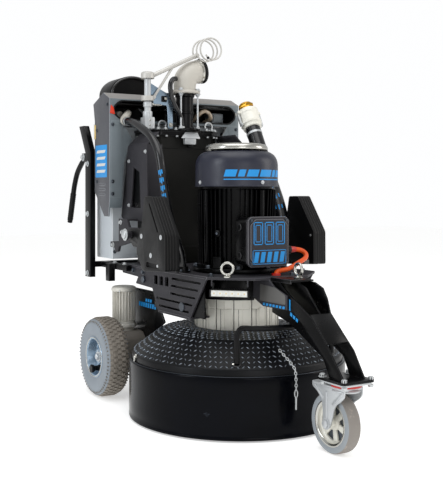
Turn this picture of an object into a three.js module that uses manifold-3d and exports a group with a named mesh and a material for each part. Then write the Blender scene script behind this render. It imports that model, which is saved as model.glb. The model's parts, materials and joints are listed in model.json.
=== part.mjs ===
// Walk-behind planetary concrete grinder: a three-head grinding unit with a vertical motor,
// swing-up side weights, a removable front caster, a vacuum and water column, and a driven
// rear axle with an operator's frame. Millimetres, +X is the direction of travel, +Y the
// operator's left, +Z up. The origin is on the floor under the middle of the whole machine.

import * as THREE from 'three';
import { mergeVertices } from 'three/addons/utils/BufferGeometryUtils.js';
import Module from 'manifold-3d';

const wasm = await Module();
wasm.setup();

// ---------------------------------------------------------------- driving dimensions

const HEAD_AXIS_X = 115;          // grinding head and motor axis, ahead of the machine's middle
const GAP = 0.3;                  // clearance between pieces that touch
const SIDES = [['left', 1], ['right', -1]];

const SKIRT = { radius: 417, wall: 4, bottom: 6, top: 222, lip: 4 };
const COVER = { radius: 405, edge: 245, hem: 198, kneeRadius: 292, kneeZ: 328, top: 341, wall: 4 };
const NECK = { radius: 160, wall: 10, top: 542 - GAP };
const HOOP = { radius: 385, tube: 10, top: 384, foot: 263, halfAngle: 32.3 };

const SATELLITES = 3;
const ORBIT_RADIUS = 235;
const DISC = { radius: 140, bottom: 22, top: 34, pads: 6, padRadius: 104 };
const CARRIER = { radius: 345, bottom: 206, top: 220, shaftRadius: 30, shaftTop: 462 };
const SPINDLE = { radius: 22, bottom: 60, top: 252 };
const GEAR = { ringTeeth: 45, pinionTeeth: 9, bottom: 232, top: 250, rim: 314 };
const GEAR_MODULE = (2 * ORBIT_RADIUS) / (GEAR.ringTeeth - GEAR.pinionTeeth);

const PLATE = { top: 550, thickness: 8, halfWidth: 240, rear: -545, shoulder: 180, nose: 300, noseHalf: 117 };
const CHEEK = { inner: 48, outer: 55 };     // brackets that hold the removable arm
const MOTOR = {
  flange: 170, core: 138, fin: 154, fins: 16, bottom: PLATE.top + GAP, finBottom: 590, finTop: 866, top: 878,
};
const COWL = { radius: 160, bottom: 876, shoulder: 958, top: 1012, wall: 3 };
const CAP = { radius: 121, bottom: 1018, top: 1043 };
const BOX = { back: 158, split: 232, front: 250, right: -107, left: 72, bottom: 583, top: 765 };
const GLAND = { x: 205, z: 640, radius: 15, tip: 108 };
const LEAD_RADIUS = 9;

const ARM = { half: 45, wall: 6, padZ: 255, padThickness: 8 };
const CASTER = { x: 659, trail: 55, radius: 100, halfWidth: 25, plateTop: 247 - GAP, ringBottom: 229 };

const WEIGHT = {
  inner: 303, outer: 363, pivotX: -262, pivotZ: 687, pinRadius: 14, armInner: 318, armOuter: 330,
};
const BRACKET = { inner: 234, outer: 240, hookInner: 285, hookOuter: 297 };

const TANK = { front: -400, rear: -545, half: 162, bottom: 551, top: 1112 };
const LID = { front: -390, half: 178, thickness: 8 };
const INLET = { x: -430, y: 8, tube: 37, flange: 66, top: 1278 };
const MAST = { x: -400, y: -186, radius: 14, block: 22, blockTop: 1167, top: 1328 };
const BOOM = { capRadius: 28, capTop: 1358, tube: 9, tipY: 52, tipZ: 1446 };
const GUIDE = { radius: 47, wire: 3.6, turns: 3, length: 98, centreY: 84, centreZ: 1466 };

const CABINET = { front: -550, rear: -715, half: 279, bottom: 569, top: 1150, wall: 4 };
const DOOR = { thickness: 20, half: 270 };
const HOOD = { half: 320, front: -488, wall: 6 };
const FRAME_POST = { inner: 305, outer: 330, front: -673, rear: -728, bottom: 484, bend: 1030 };
const HANDLE = { pivotX: -752, pivotZ: 1010, radius: 12 };

const WHEEL = { x: -520, y: 330, radius: 165, halfWidth: 53, bead: 77 };
const DRIVE = { motorX: -565, motorY: 218, motorRadius: 50, bottom: 297, top: 452 };

// ---------------------------------------------------------------- materials

const finish = (color, roughness, metalness) =>
  new THREE.MeshStandardMaterial({ color, roughness, metalness });
const FINISH = {
  framePaint: finish(0x3c3c41, 0.62, 0.2),
  blackPaint: finish(0x141416, 0.45, 0.2),
  skirtGloss: finish(0x0b0c0e, 0.2, 0.2),
  treadPlate: finish(0x17191d, 0.38, 0.5),
  castAluminium: finish(0xa9aca8, 0.5, 0.7),
  motorPaint: finish(0x0f1012, 0.42, 0.2),
  cowlPaint: finish(0x2b2f3a, 0.35, 0.3),
  brightSteel: finish(0xc7cacd, 0.28, 0.9),
  zinc: finish(0xb6babd, 0.38, 0.85),
  darkSteel: finish(0x5a5d60, 0.4, 0.85),
  hoodPaint: finish(0x6f757a, 0.45, 0.25),
  cabinetPaint: finish(0xc3cad0, 0.5, 0.15),
  greyRubber: finish(0x8f9194, 0.8, 0),
  blackPlastic: finish(0x101012, 0.5, 0),
  orangeCable: finish(0xe8641a, 0.5, 0),
  brass: finish(0xc8a24a, 0.3, 0.9),
  whiteCasting: finish(0xd9d6cf, 0.5, 0.1),
  redPlastic: finish(0xb3221c, 0.4, 0),
};

// ---------------------------------------------------------------- solid helpers

function weldedIndex(geometry) {
  const plain = geometry.clone();
  plain.deleteAttribute('normal');
  plain.deleteAttribute('uv');
  const merged = mergeVertices(plain, 1e-4);
  const index = [];
  for (let i = 0; i < merged.index.count; i += 3) {
    const [a, b, c] = [0, 1, 2].map((k) => merged.index.getX(i + k));
    if (a !== b && b !== c && c !== a) index.push(a, b, c);
  }
  return { positions: merged.attributes.position.array, index };
}

function signedVolume(positions, index) {
  const at = (i) => new THREE.Vector3().fromArray(positions, 3 * i);
  let total = 0;
  for (let i = 0; i < index.length; i += 3) {
    total += at(index[i]).dot(at(index[i + 1]).cross(at(index[i + 2]))) / 6;
  }
  return total;
}

// Turns a closed three.js geometry into a solid whose faces point outwards.
function solid(geometry) {
  const { positions, index } = weldedIndex(geometry);
  if (signedVolume(positions, index) < 0) index.reverse();
  return new wasm.Manifold(new wasm.Mesh({
    numProp: 3, vertProperties: new Float32Array(positions), triVerts: new Uint32Array(index),
  }));
}

function geometryOf(body) {
  const mesh = body.getMesh();
  const geometry = new THREE.BufferGeometry();
  geometry.setAttribute('position', new THREE.BufferAttribute(new Float32Array(mesh.vertProperties), 3));
  geometry.setIndex([...mesh.triVerts]);
  geometry.computeVertexNormals();
  return geometry;
}

const union = (...bodies) => bodies.flat().reduce((sum, body) => sum.add(body));
const cut = (body, ...tools) => tools.flat().reduce((rest, tool) => rest.subtract(tool), body);

function box(x0, x1, y0, y1, z0, z1) {
  const geometry = new THREE.BoxGeometry(x1 - x0, y1 - y0, z1 - z0);
  return solid(geometry.translate((x0 + x1) / 2, (y0 + y1) / 2, (z0 + z1) / 2));
}

// A box given on one side of the machine: y runs outwards from the middle.
const sideBox = (side, x0, x1, y0, y1, z0, z1) =>
  box(x0, x1, Math.min(side * y0, side * y1), Math.max(side * y0, side * y1), z0, z1);

const TURNS = {
  x: new THREE.Matrix4().makeRotationZ(-Math.PI / 2),
  y: new THREE.Matrix4(),
  z: new THREE.Matrix4().makeRotationX(Math.PI / 2),
};

// A round bar along an axis, from one end to the other, centred on the two other coordinates.
function bar(axis, radius, from, to, centre, segments = 20) {
  const geometry = new THREE.CylinderGeometry(radius, radius, to - from, segments);
  geometry.applyMatrix4(TURNS[axis]);
  const middle = (from + to) / 2;
  const [u, v] = centre;
  const place = { x: [middle, u, v], y: [u, middle, v], z: [u, v, middle] }[axis];
  return solid(geometry.translate(...place));
}

const sideBar = (side, radius, y0, y1, centre, segments) =>
  bar('y', radius, Math.min(side * y0, side * y1), Math.max(side * y0, side * y1), centre, segments);

const shapeOf = (points) => new THREE.Shape(points.map(([u, v]) => new THREE.Vector2(u, v)));

const PLANES = {
  xy: new THREE.Matrix4(),
  xz: new THREE.Matrix4().makeBasis(
    new THREE.Vector3(1, 0, 0), new THREE.Vector3(0, 0, 1), new THREE.Vector3(0, -1, 0)),
  yz: new THREE.Matrix4().makeBasis(
    new THREE.Vector3(0, 1, 0), new THREE.Vector3(0, 0, 1), new THREE.Vector3(1, 0, 0)),
};

// A flat plate: an outline in one plane, given thickness between two values of the third axis.
function plate(plane, points, from, to, holes = []) {
  const geometry = new THREE.ExtrudeGeometry(shapeOf(points), { depth: to - from, bevelEnabled: false });
  geometry.applyMatrix4(PLANES[plane]);
  const shift = { xy: [0, 0, from], xz: [0, to, 0], yz: [from, 0, 0] }[plane];
  return cut(solid(geometry.translate(...shift)), holes.map((hole) => plate(plane, hole, from - 1, to + 1)));
}

const sidePlate = (side, points, y0, y1, holes) =>
  plate('xz', points, Math.min(side * y0, side * y1), Math.max(side * y0, side * y1), holes);

// A body turned about the vertical through the origin, from [radius, z] points.
function lathe(profile, segments) {
  const points = profile.map(([r, z]) => new THREE.Vector2(r, z));
  const onAxis = profile[0][0] === 0 && profile.at(-1)[0] === 0;
  if (!onAxis) points.push(points[0].clone());
  return solid(new THREE.LatheGeometry(points, segments).rotateX(Math.PI / 2));
}

function circle(radius, segments, centre = [0, 0], phase = 0) {
  return Array.from({ length: segments }, (_, i) => {
    const angle = phase + (2 * Math.PI * i) / segments;
    return [centre[0] + radius * Math.cos(angle), centre[1] + radius * Math.sin(angle)];
  });
}

// An outline of a rectangle with its corners cut by a given amount.
const chamfered = (u0, u1, v0, v1, c) => [
  [u0 + c, v0], [u1 - c, v0], [u1, v0 + c], [u1, v1 - c],
  [u1 - c, v1], [u0 + c, v1], [u0, v1 - c], [u0, v0 + c],
];

const rectangle = (u0, u1, v0, v1) => [[u0, v0], [u1, v0], [u1, v1], [u0, v1]];

const turned = (outline, angle) => outline.map(([u, v]) =>
  [u * Math.cos(angle) - v * Math.sin(angle), u * Math.sin(angle) + v * Math.cos(angle)]);

const slot = (u0, u1, v, height) => rectangle(u0, u1, v - height / 2, v + height / 2);

const mirrorOutline = (points) => [...points, ...points.map(([u, v]) => [-u, v]).reverse()];

// A round tube along a smooth curve through the given points.
function tube(points, radius, sides, steps) {
  const path = new THREE.CatmullRomCurve3(points.map((p) => new THREE.Vector3(...p)), false, 'centripetal');
  return sweep(path, radius, sides, steps);
}

function sweep(path, radius, sides, steps) {
  const section = shapeOf(circle(radius, sides));
  return solid(new THREE.ExtrudeGeometry(section, { steps, bevelEnabled: false, extrudePath: path }));
}

// A straight round rod between two points.
function rod(from, to, radius, sides = 10) {
  return sweep(new THREE.LineCurve3(new THREE.Vector3(...from), new THREE.Vector3(...to)), radius, sides, 1);
}

const machine = new THREE.Group();
const head = new THREE.Group();
head.position.x = HEAD_AXIS_X;
machine.add(head);

function add(name, body, material, parent = head) {
  const mesh = new THREE.Mesh(geometryOf(body), material);
  mesh.name = name;
  parent.add(mesh);
  return mesh;
}

// ---------------------------------------------------------------- grinding head

function dustSkirt() {
  const { radius, wall, bottom, top, lip } = SKIRT;
  const inner = radius - wall;
  const lipRadius = COVER.radius + GAP;
  return lathe([[inner, bottom], [radius, bottom], [radius, top], [lipRadius, top],
    [lipRadius, top - lip], [inner, top - lip]], 32);
}

function headCover() {
  const { radius, edge, hem, kneeRadius, kneeZ, top, wall } = COVER;
  const collar = NECK.radius + GAP;
  return lathe([[radius, hem], [radius, edge], [kneeRadius, kneeZ], [222, top], [collar - 6, top],
    [collar - 6, top - wall], [221, top - wall], [kneeRadius - 2, kneeZ - wall], [radius - wall, edge - 2],
    [radius - wall, hem]], 32);
}

function headNeck() {
  const { radius, wall, top } = NECK;
  const bottom = COVER.top + GAP;
  return lathe([[radius - wall, bottom], [radius, bottom], [radius, top], [radius - wall, top]], 28);
}

// A carrying hoop that stands on the cover and follows its rim round the front.
function liftHoop() {
  const { radius, tube: half, top, foot, halfAngle } = HOOP;
  const points = [];
  const reach = THREE.MathUtils.degToRad(halfAngle);
  const at = (angle, z) => [radius * Math.cos(angle), radius * Math.sin(angle), z];
  points.push(at(-reach, foot + 4), at(-reach, foot + 60), at(-reach, top - 26));
  for (let i = -5; i <= 5; i += 1) points.push(at((reach * 0.93 * i) / 5, top));
  points.push(at(reach, top - 26), at(reach, foot + 60), at(reach, foot + 4));
  return tube(points, half, 6, 26);
}

const gearPoint = (radius, angle) => [radius * Math.cos(angle), radius * Math.sin(angle)];

// Pointed stub teeth with generous backlash; a tooth or a gap is centred on angle 0.
function toothedOutline(teeth, tip, root, startWithGap) {
  const pitch = (2 * Math.PI) / teeth;
  const half = 0.2 * pitch;
  const points = [];
  for (let i = 0; i < teeth; i += 1) {
    const middle = (i + (startWithGap ? 0.5 : 0)) * pitch;
    points.push(gearPoint(root, middle - half), gearPoint(tip, middle), gearPoint(root, middle + half));
  }
  return points;
}

function ringGear() {
  const { ringTeeth, bottom, top, rim } = GEAR;
  const pitchRadius = (GEAR_MODULE * ringTeeth) / 2;
  const teeth = toothedOutline(ringTeeth, pitchRadius - 0.7 * GEAR_MODULE, pitchRadius + GEAR_MODULE, true);
  const gear = plate('xy', circle(rim, 24), bottom, top, [teeth]);
  const hanger = lathe([[rim - 6, top - 1], [rim, top - 1], [rim, 304], [rim - 6, 304]], 24);
  return union(gear, hanger);
}

function satellite() {
  const { pinionTeeth, bottom, top } = GEAR;
  const pitchRadius = (GEAR_MODULE * pinionTeeth) / 2;
  const tip = pitchRadius + 0.7 * GEAR_MODULE;
  const teeth = toothedOutline(pinionTeeth, tip, pitchRadius - GEAR_MODULE, false);
  const pad = rectangle(DISC.padRadius - 24, DISC.padRadius + 26, -15, 15);
  const pads = Array.from({ length: DISC.pads }, (_, i) =>
    plate('xy', turned(pad, (2 * Math.PI * i) / DISC.pads), 0, DISC.bottom + 1));
  return union(
    bar('z', DISC.radius, DISC.bottom, DISC.top, [0, 0], 24),
    bar('z', 60, DISC.top - 1, 72, [0, 0], 12),
    bar('z', 42, 71, 196, [0, 0], 12),
    bar('z', SPINDLE.radius, 195, SPINDLE.top, [0, 0], 12),
    plate('xy', teeth, bottom, top),
    pads,
  );
}

function planetCarrier() {
  const { radius, bottom, top, shaftRadius, shaftTop } = CARRIER;
  const wheel = lathe([[0, bottom], [radius, bottom], [radius, top], [100, top], [70, 262],
    [shaftRadius, 290], [shaftRadius, shaftTop], [0, shaftTop]], 24);
  const bores = Array.from({ length: SATELLITES }, (_, i) => {
    const angle = (2 * Math.PI * i) / SATELLITES;
    return bar('z', SPINDLE.radius + 1.2, bottom - 5, top + 60,
      [ORBIT_RADIUS * Math.cos(angle), ORBIT_RADIUS * Math.sin(angle)], 12);
  });
  return cut(wheel, bores);
}

function reductionHousing() {
  const bore = CARRIER.shaftRadius + 1;
  return lathe([[bore, 400], [120, 400], [120, 535], [112, 535], [112, 420], [46, 420], [46, 450],
    [bore, 450]], 16);
}

function buildHead() {
  add('dust_skirt', dustSkirt(), FINISH.skirtGloss);
  add('head_cover', headCover(), FINISH.treadPlate);
  add('head_neck', headNeck(), FINISH.castAluminium);
  add('head_lift_hoop', liftHoop(), FINISH.blackPaint);
  add('ring_gear', ringGear(), FINISH.darkSteel);
  add('reduction_housing', reductionHousing(), FINISH.castAluminium);
  add('planet_carrier', planetCarrier(), FINISH.darkSteel);
  for (let i = 0; i < SATELLITES; i += 1) {
    const orbit = new THREE.Group();
    orbit.rotation.z = (2 * Math.PI * i) / SATELLITES;
    head.add(orbit);
    const mesh = add(`satellite_head_${i + 1}`, satellite(), FINISH.zinc, orbit);
    mesh.position.x = ORBIT_RADIUS;
  }
}

// ---------------------------------------------------------------- motor

function motorHousing() {
  const { flange, core, fin, fins, bottom, finBottom, finTop, top } = MOTOR;
  const shell = lathe([[22.5, bottom], [flange, bottom], [flange, 568], [core, 576], [core, top],
    [22.5, top], [22.5, 856], [82, 856], [82, 606], [22.5, 606]], 24);
  const outline = [];
  for (let i = 0; i < fins; i += 1) {
    const middle = (2 * Math.PI * (i + 0.5)) / fins;
    const halfTip = 2.4 / fin;
    const halfRoot = 3.4 / core;
    outline.push(gearPoint(core - 4, middle - halfRoot), gearPoint(fin, middle - halfTip),
      gearPoint(fin, middle + halfTip), gearPoint(core - 4, middle + halfRoot));
  }
  const finned = plate('xy', outline, finBottom, finTop, [circle(108, 10)]);
  const pad = box(126, BOX.back - GAP, -84, 50, 622, 736);
  return union(shell, finned, pad);
}

function motorRotor() {
  const shaft = union(
    bar('z', 21, 474, 962, [0, 0], 12),
    bar('z', 33, 478, 498, [0, 0], 12),
    bar('z', 76, 622, 840, [0, 0], 16),
    bar('z', 38, 898, 938, [0, 0], 12),
  );
  const blades = Array.from({ length: 6 }, (_, i) =>
    plate('xy', turned(rectangle(30, 132, -2, 2), (Math.PI * i) / 3), 900, 936));
  return union(shaft, blades);
}

function fanCowl() {
  const { radius, bottom, shoulder, top, wall } = COWL;
  return lathe([[radius, bottom], [radius, shoulder], [radius - 7, 984], [radius - 22, 1003],
    [radius - 44, top], [64, top], [64, top - wall], [radius - 45, top - wall], [radius - 24, 1000],
    [radius - 10, 982], [radius - wall, shoulder - 1], [radius - wall, bottom]], 20);
}

function rainCap() {
  const { radius, bottom, top } = CAP;
  const dome = lathe([[0, top], [90, top - 2], [radius - 3, top - 10], [radius, bottom],
    [radius - 3, bottom], [radius - 6, top - 12], [89, top - 5], [0, top - 3]], 24);
  const posts = [0, 1, 2, 3].map((i) => {
    const angle = Math.PI / 4 + (Math.PI / 2) * i;
    return bar('z', 5, COWL.top + GAP, top - 6, [96 * Math.cos(angle), 96 * Math.sin(angle)], 6);
  });
  return union(dome, posts);
}

function terminalBox() {
  const { back, split, right, left, bottom, top } = BOX;
  const shell = plate('yz', chamfered(right + 3, left - 3, bottom + 3, top - 3, 12), back, split - GAP);
  const hollow = plate('yz', chamfered(right + 9, left - 9, bottom + 9, top - 9, 10), back + 6, split + 5);
  const gland = union(
    bar('y', GLAND.radius + 4, left - 6, left + 12, [GLAND.x, GLAND.z], 6),
    bar('y', GLAND.radius, left + 11, GLAND.tip, [GLAND.x, GLAND.z], 12),
  );
  return cut(union(shell, gland), hollow);
}

function terminalLid() {
  const { split, front, right, left, bottom, top } = BOX;
  return plate('yz', chamfered(right, left, bottom, top, 13), split, front);
}

const MOTOR_LEAD_ROUTE = [
  [GLAND.x, GLAND.tip + GAP, GLAND.z], [205, 130, 640], [212, 151, 636], [224, 163, 625],
  [234, 158, 612], [240, 140, 602], [244, 115, 592], [244, 90, 580], [244, 65, 571],
  [243, 42, 568], [240, 27, 565], [240, 20, 560], [240, 18, 553],
];

function buildMotor() {
  add('motor_housing', motorHousing(), FINISH.motorPaint);
  add('motor_rotor', motorRotor(), FINISH.darkSteel);
  add('fan_cowl', fanCowl(), FINISH.cowlPaint);
  add('rain_cap', rainCap(), FINISH.brightSteel);
  add('terminal_box', terminalBox(), FINISH.motorPaint);
  add('terminal_box_lid', terminalLid(), FINISH.framePaint);
  add('motor_lead', tube(MOTOR_LEAD_ROUTE, LEAD_RADIUS, 8, 14), FINISH.orangeCable);
}

// ---------------------------------------------------------------- main frame

function chassisFrame() {
  const { top, thickness, halfWidth, rear, shoulder, nose, noseHalf } = PLATE;
  const under = top - thickness;
  const deck = plate('xy', [[rear, -halfWidth], [shoulder, -halfWidth], [nose, -noseHalf], [nose, noseHalf],
    [shoulder, halfWidth], [rear, halfWidth]], under, top, [circle(112, 16)]);
  const bottomTray = plate('xy', [[-200, 1 - halfWidth], [58, 1 - halfWidth], [58, halfWidth - 1],
    [-200, halfWidth - 1]], 385, 391, [circle(168, 20)]);
  const cheekOutline = [[shoulder + 20, under + 1], [nose, under + 1], [332, 520], [406, 496], [406, 447],
    [264, 445], [shoulder + 20, 470]];
  const sideOutline = [[shoulder, top], [56, 385], [-200, 385], [-250, 471], [-402, 477], [-380, 506],
    [-528, 512], [rear, top]];
  const slots = [[-88, 136, 523.5], [-94, 116, 496], [-99, 96, 466], [-214, 74, 437.5], [-192, 48, 409]]
    .map(([from, to, z]) => slot(from, to, z, 9));
  const louvres = [-236, -190, -144].map((x) => slot(x, x + 32, 507, 36));
  const parts = [deck, bottomTray, lampTabs()];
  for (const [, side] of SIDES) {
    parts.push(sidePlate(side, sideOutline, halfWidth - thickness, halfWidth, [...slots, ...louvres]));
    parts.push(sidePlate(side, cheekOutline, CHEEK.inner, CHEEK.outer));
  }
  return union(parts);
}

// A welded carriage between the frame and the driven wheels, turning on a cross tube.
function wheelCarriage() {
  const outline = [[-606, 128], [-606, 440], [-352, 440], [-352, 524], [-296, 524], [-296, 440],
    [-332, 425], [-332, 372], [-292, 322], [-392, 262], [-396, 128]];
  const reach = PLATE.halfWidth - PLATE.thickness - GAP;
  const parts = [box(-600, -560, -163, 163, 360, 410), bar('y', 20, -reach, reach, [-324, 500], 16)];
  for (const [, side] of SIDES) parts.push(sidePlate(side, outline, 155, 163));
  return union(parts);
}

function armSidePlate(outline, side) {
  return sidePlate(side, outline, ARM.half - ARM.wall, ARM.half);
}

function casterArm() {
  const foot = [[700, ARM.padZ - 1], [628, ARM.padZ - 1], [595, 312], [417, 400], [306, 428]];
  const near = [[306, 545], [350, 540], [405, 500], [528, 438], [612, 358]];
  const far = [[306, 545], [440, 542], [484, 526], [508, 492], [526, 442], [645, 338]];
  const middle = [[312, 430], [312, 545], [396, 545], [446, 524], [530, 438], [417, 402]];
  const bolted = [[CASTER.x + 55, 54], [CASTER.x + 55, -54], [CASTER.x - 55, -54], [CASTER.x - 55, 54]];
  const padOutline = chamfered(CASTER.x - 75, CASTER.x + 65, -66, 66, 8);
  return union(
    armSidePlate([...near, ...foot], -1),
    armSidePlate([...far, ...foot], 1),
    plate('xz', middle, -3, 3),
    box(302, 428, -ARM.half, ARM.half, 544, 550),
    plate('xz', [[522, 440], [527, 445], [618, 362], [613, 357]], 1 - ARM.half, ARM.half - 1),
    plate('xy', padOutline, ARM.padZ - ARM.padThickness, ARM.padZ),
    bolted.map(([x, y]) => bar('z', 9, ARM.padZ - 1, ARM.padZ + 8, [x, y], 6)),
  );
}

function liftingEye() {
  const ring = new THREE.TorusGeometry(21, 5, 6, 12).rotateX(Math.PI / 2).translate(0, 0, 31);
  return union(solid(ring), bar('z', 12, 0, 6, [0, 0], 8), bar('z', 6, 5, 12, [0, 0], 6));
}

function buildFrame() {
  add('chassis_frame', chassisFrame(), FINISH.framePaint);
  add('wheel_carriage', wheelCarriage(), FINISH.blackPaint);
  add('caster_arm', casterArm(), FINISH.blackPaint);
  const eyes = [
    ['lifting_eye_frame', [222, -180, PLATE.top + GAP], 60],
    ['lifting_eye_arm', [374, 20, PLATE.top + GAP], 0],
  ];
  for (const [name, place, turn] of eyes) {
    const mesh = add(name, liftingEye(), FINISH.brightSteel);
    mesh.position.set(...place);
    mesh.rotation.z = THREE.MathUtils.degToRad(turn);
  }
}

// Two tabs with a pin each under the deck's right shoulder, in the lamp's own frame.
function lampTabs() {
  const tabs = [-1, 1].map((end) => union(
    box(-9, 5, 65.4 * end - 2, 65.4 * end + 2, 24, 49),
    bar('y', 2.4, 62 * end - 5, 62 * end + 5, [-2, 32], 8),
  ));
  return union(tabs).transform(lampFrame().elements);
}

function lampFrame() {
  const turn = Math.atan2(PLATE.nose - PLATE.shoulder, PLATE.halfWidth - PLATE.noseHalf);
  return new THREE.Matrix4().makeTranslation(227, -173, 494)
    .multiply(new THREE.Matrix4().makeRotationZ(-turn));
}

// A bar lamp under the right shoulder of the deck, facing outwards square to that edge.
function buildWorkLight() {
  const lamp = plate('yz', chamfered(-72, 72, -14, 14, 5), -14, 14);
  const fins = [-10, -4, 2].map((x) => box(x, x + 2.5, -66, 66, -17, -12));
  const ears = [-1, 1].map((end) => box(-8, 4, 60 * end - 3, 60 * end + 3, 12, 40));
  const light = cut(union(lamp, fins, ears), bar('y', 3, -70, 70, [-2, 32], 8));
  add('work_light', light, FINISH.blackPlastic).applyMatrix4(lampFrame());
}

// ---------------------------------------------------------------- front caster

function casterTopPlate() {
  const { x, plateTop, ringBottom } = CASTER;
  const flat = plate('xy', chamfered(x - 72, x + 62, -60, 60, 8), plateTop - 7, plateTop);
  const race = lathe([[10, ringBottom], [50, ringBottom], [50, plateTop - 6], [10, plateTop - 6]], 18);
  return cut(union(flat, race.translate([x, 0, 0])), bar('z', 10.2, 200, 260, [x, 0], 12));
}

function casterFork() {
  const { x, trail, ringBottom } = CASTER;
  const axleX = x - trail;
  const top = ringBottom - GAP;
  const leg = [[528, top], [698, top], [694, 196], [664, 178], [640, 150], [626, 108], [618, 90], [604, 84],
    [591, 90], [587, 104], [584, 186], [528, 216]];
  return union(
    box(528, 698, -44, 44, top - 7, top),
    [-1, 1].map((side) => sidePlate(side, leg, 34, 39)),
    bar('z', 9.4, top - 3, CASTER.plateTop - 1, [x, 0], 12),
    bar('y', 8, -44, 44, [axleX, CASTER.radius], 12),
    [-1, 1].map((side) => sideBar(side, 13, 38, 47, [axleX, CASTER.radius], 6)),
  );
}

function casterWheel() {
  const { radius, halfWidth } = CASTER;
  const half = [[8.6, 31], [22, 31], [24, 10], [68, 8], [72, halfWidth], [94, halfWidth],
    [radius, halfWidth - 7]];
  const profile = [...half, ...half.map(([r, y]) => [r, -y]).reverse()];
  return lathe(profile, 16);
}

function buildCaster() {
  add('caster_top_plate', casterTopPlate(), FINISH.zinc);
  add('caster_fork', casterFork(), FINISH.zinc);
  const wheel = add('caster_wheel', casterWheel(), FINISH.greyRubber);
  wheel.position.set(CASTER.x - CASTER.trail, 0, CASTER.radius);
  wheel.rotation.x = Math.PI / 2;
}

// ---------------------------------------------------------------- rear wheels and drives

function wheelRim() {
  return lathe([[0, -112], [12.4, -112], [12.4, -20], [31, -20], [31, -4], [72, -4], [72, -48], [86, -48],
    [86, -44.3], [WHEEL.bead - GAP, -44.3], [WHEEL.bead - GAP, 44.3], [86, 44.3], [86, 48], [72, 48],
    [72, 4], [31, 4], [31, 26], [0, 26]], 18);
}

function wheelTyre() {
  const { radius, halfWidth, bead } = WHEEL;
  const half = [[bead, 44], [88, 44], [114, halfWidth], [148, halfWidth - 4], [radius, 26]];
  return lathe([...half, ...half.map(([r, y]) => [r, -y]).reverse()], 18);
}

// The pull knob stands on the wheel's web, below its hub, with its pin through the web.
function freewheelKnob() {
  return union(
    bar('z', 13, 16, 51, [0, 0], 8),
    bar('z', 17, 50, 62, [0, 0], 8),
    bar('z', 6, -12, 17, [0, 0], 8),
  );
}

function driveUnit(side) {
  const { motorX, motorY, motorRadius, bottom, top } = DRIVE;
  const place = [motorX, side * motorY];
  const gearbox = sideBox(side, -604, -462, 163 + GAP, 258, 92, 262);
  const bore = sideBar(side, 13, 214, 270, [WHEEL.x, WHEEL.radius], 12);
  return cut(union(
    gearbox,
    bar('z', 42, 261, 276, place, 12),
    bar('z', 54, 275, bottom + 6, place, 14),
    bar('z', motorRadius, bottom + 5, top - 22, place, 14),
    bar('z', 54, top - 23, top, place, 14),
  ), bore);
}

function buildWheels() {
  for (const [name, side] of SIDES) {
    const axle = new THREE.Group();
    axle.position.set(WHEEL.x, side * WHEEL.y, WHEEL.radius);
    axle.rotation.x = -side * (Math.PI / 2);
    head.add(axle);
    const rim = wheelRim().subtract(bar('z', 6.5, -10, 10, [0, side * 48], 10));
    add(`wheel_rim_${name}`, rim, FINISH.zinc, axle);
    add(`wheel_tyre_${name}`, wheelTyre(), FINISH.greyRubber, axle);
    const knob = add(`freewheel_knob_${name}`, freewheelKnob(), FINISH.blackPlastic, axle);
    knob.position.y = side * 48;
    add(`drive_unit_${name}`, driveUnit(side), FINISH.castAluminium);
  }
}

// ---------------------------------------------------------------- weights and their brackets

const WEIGHT_OUTLINE = [[-74, 839], [-12, 839], [92, 697], [93, 568], [-86, 557], [-140, 622],
  [-140, 640], [-240, 640], [-282, 672], [-282, 702], [-262, 712], [-110, 712], [-98, 725]];

function sideWeight(side) {
  const { inner, outer, pivotX, pivotZ, pinRadius, armInner, armOuter } = WEIGHT;
  const block = WEIGHT_OUTLINE.filter(([x]) => x > -142);
  const arm = sidePlate(side, WEIGHT_OUTLINE, armInner, armOuter);
  const eye = sideBar(side, pinRadius + 0.7, 250, 380, [pivotX, pivotZ], 12);
  const pinSlot = sideBox(side, -60, 40, outer - 8, outer + 10, 574, 594);
  return cut(union(sidePlate(side, block, inner, outer), arm), eye, pinSlot);
}

// Folded bracket beside the tank, with the hook arm and the pivot stub of the weight.
function sideBracket(side) {
  const face = [[-477, 1049], [-302, 1049], [-290, 735], [-522, 735], [-543, 753]];
  const window = [[-424, 960], [-368, 938], [-356, 790], [-448, 790]];
  const hook = [[-530, 646], [-530, 624], [-490, 622], [-482, 604], [-456, 608], [-446, 630], [-262, 664],
    [-240, 676], [-240, 700], [-262, 712], [-350, 712], [-372, 745], [-446, 745], [-446, 652]];
  const { pivotX, pivotZ, pinRadius } = WEIGHT;
  const rib = [[236, 1046], [236, 1054], [184, 1102], [184, 1094]].map(([y, z]) => [side * y, z]);
  const gusset = plate('yz', rib, -477, -302);
  return union(
    sidePlate(side, face, BRACKET.inner, BRACKET.outer, [window]),
    sideBox(side, -308, -302, 168, BRACKET.outer, 735, 1049),
    gusset,
    sideBox(side, -440, -380, BRACKET.outer - 1, BRACKET.hookInner + 1, 737, 744),
    sidePlate(side, hook, BRACKET.hookInner, BRACKET.hookOuter),
    sideBar(side, pinRadius, BRACKET.hookOuter - 1, 346, [pivotX, pivotZ], 12),
    sideBar(side, 21, 345, 354, [pivotX, pivotZ], 12),
  );
}

function buildWeights() {
  for (const [name, side] of SIDES) {
    add(`side_weight_${name}`, sideWeight(side), FINISH.framePaint);
    add(`side_bracket_${name}`, sideBracket(side), FINISH.framePaint);
  }
}

// ---------------------------------------------------------------- vacuum and water column

function dustTank() {
  const { front, rear, half, bottom, top } = TANK;
  const shell = plate('xy', [[rear, -half], [front - 30, -half], [front, 40 - half], [front, half - 40],
    [front - 30, half], [rear, half]], bottom + GAP, top - GAP);
  const hollow = box(rear + 6, front - 36, 6 - half, half - 6, bottom + 8, top + 20);
  return cut(shell, hollow);
}

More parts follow.
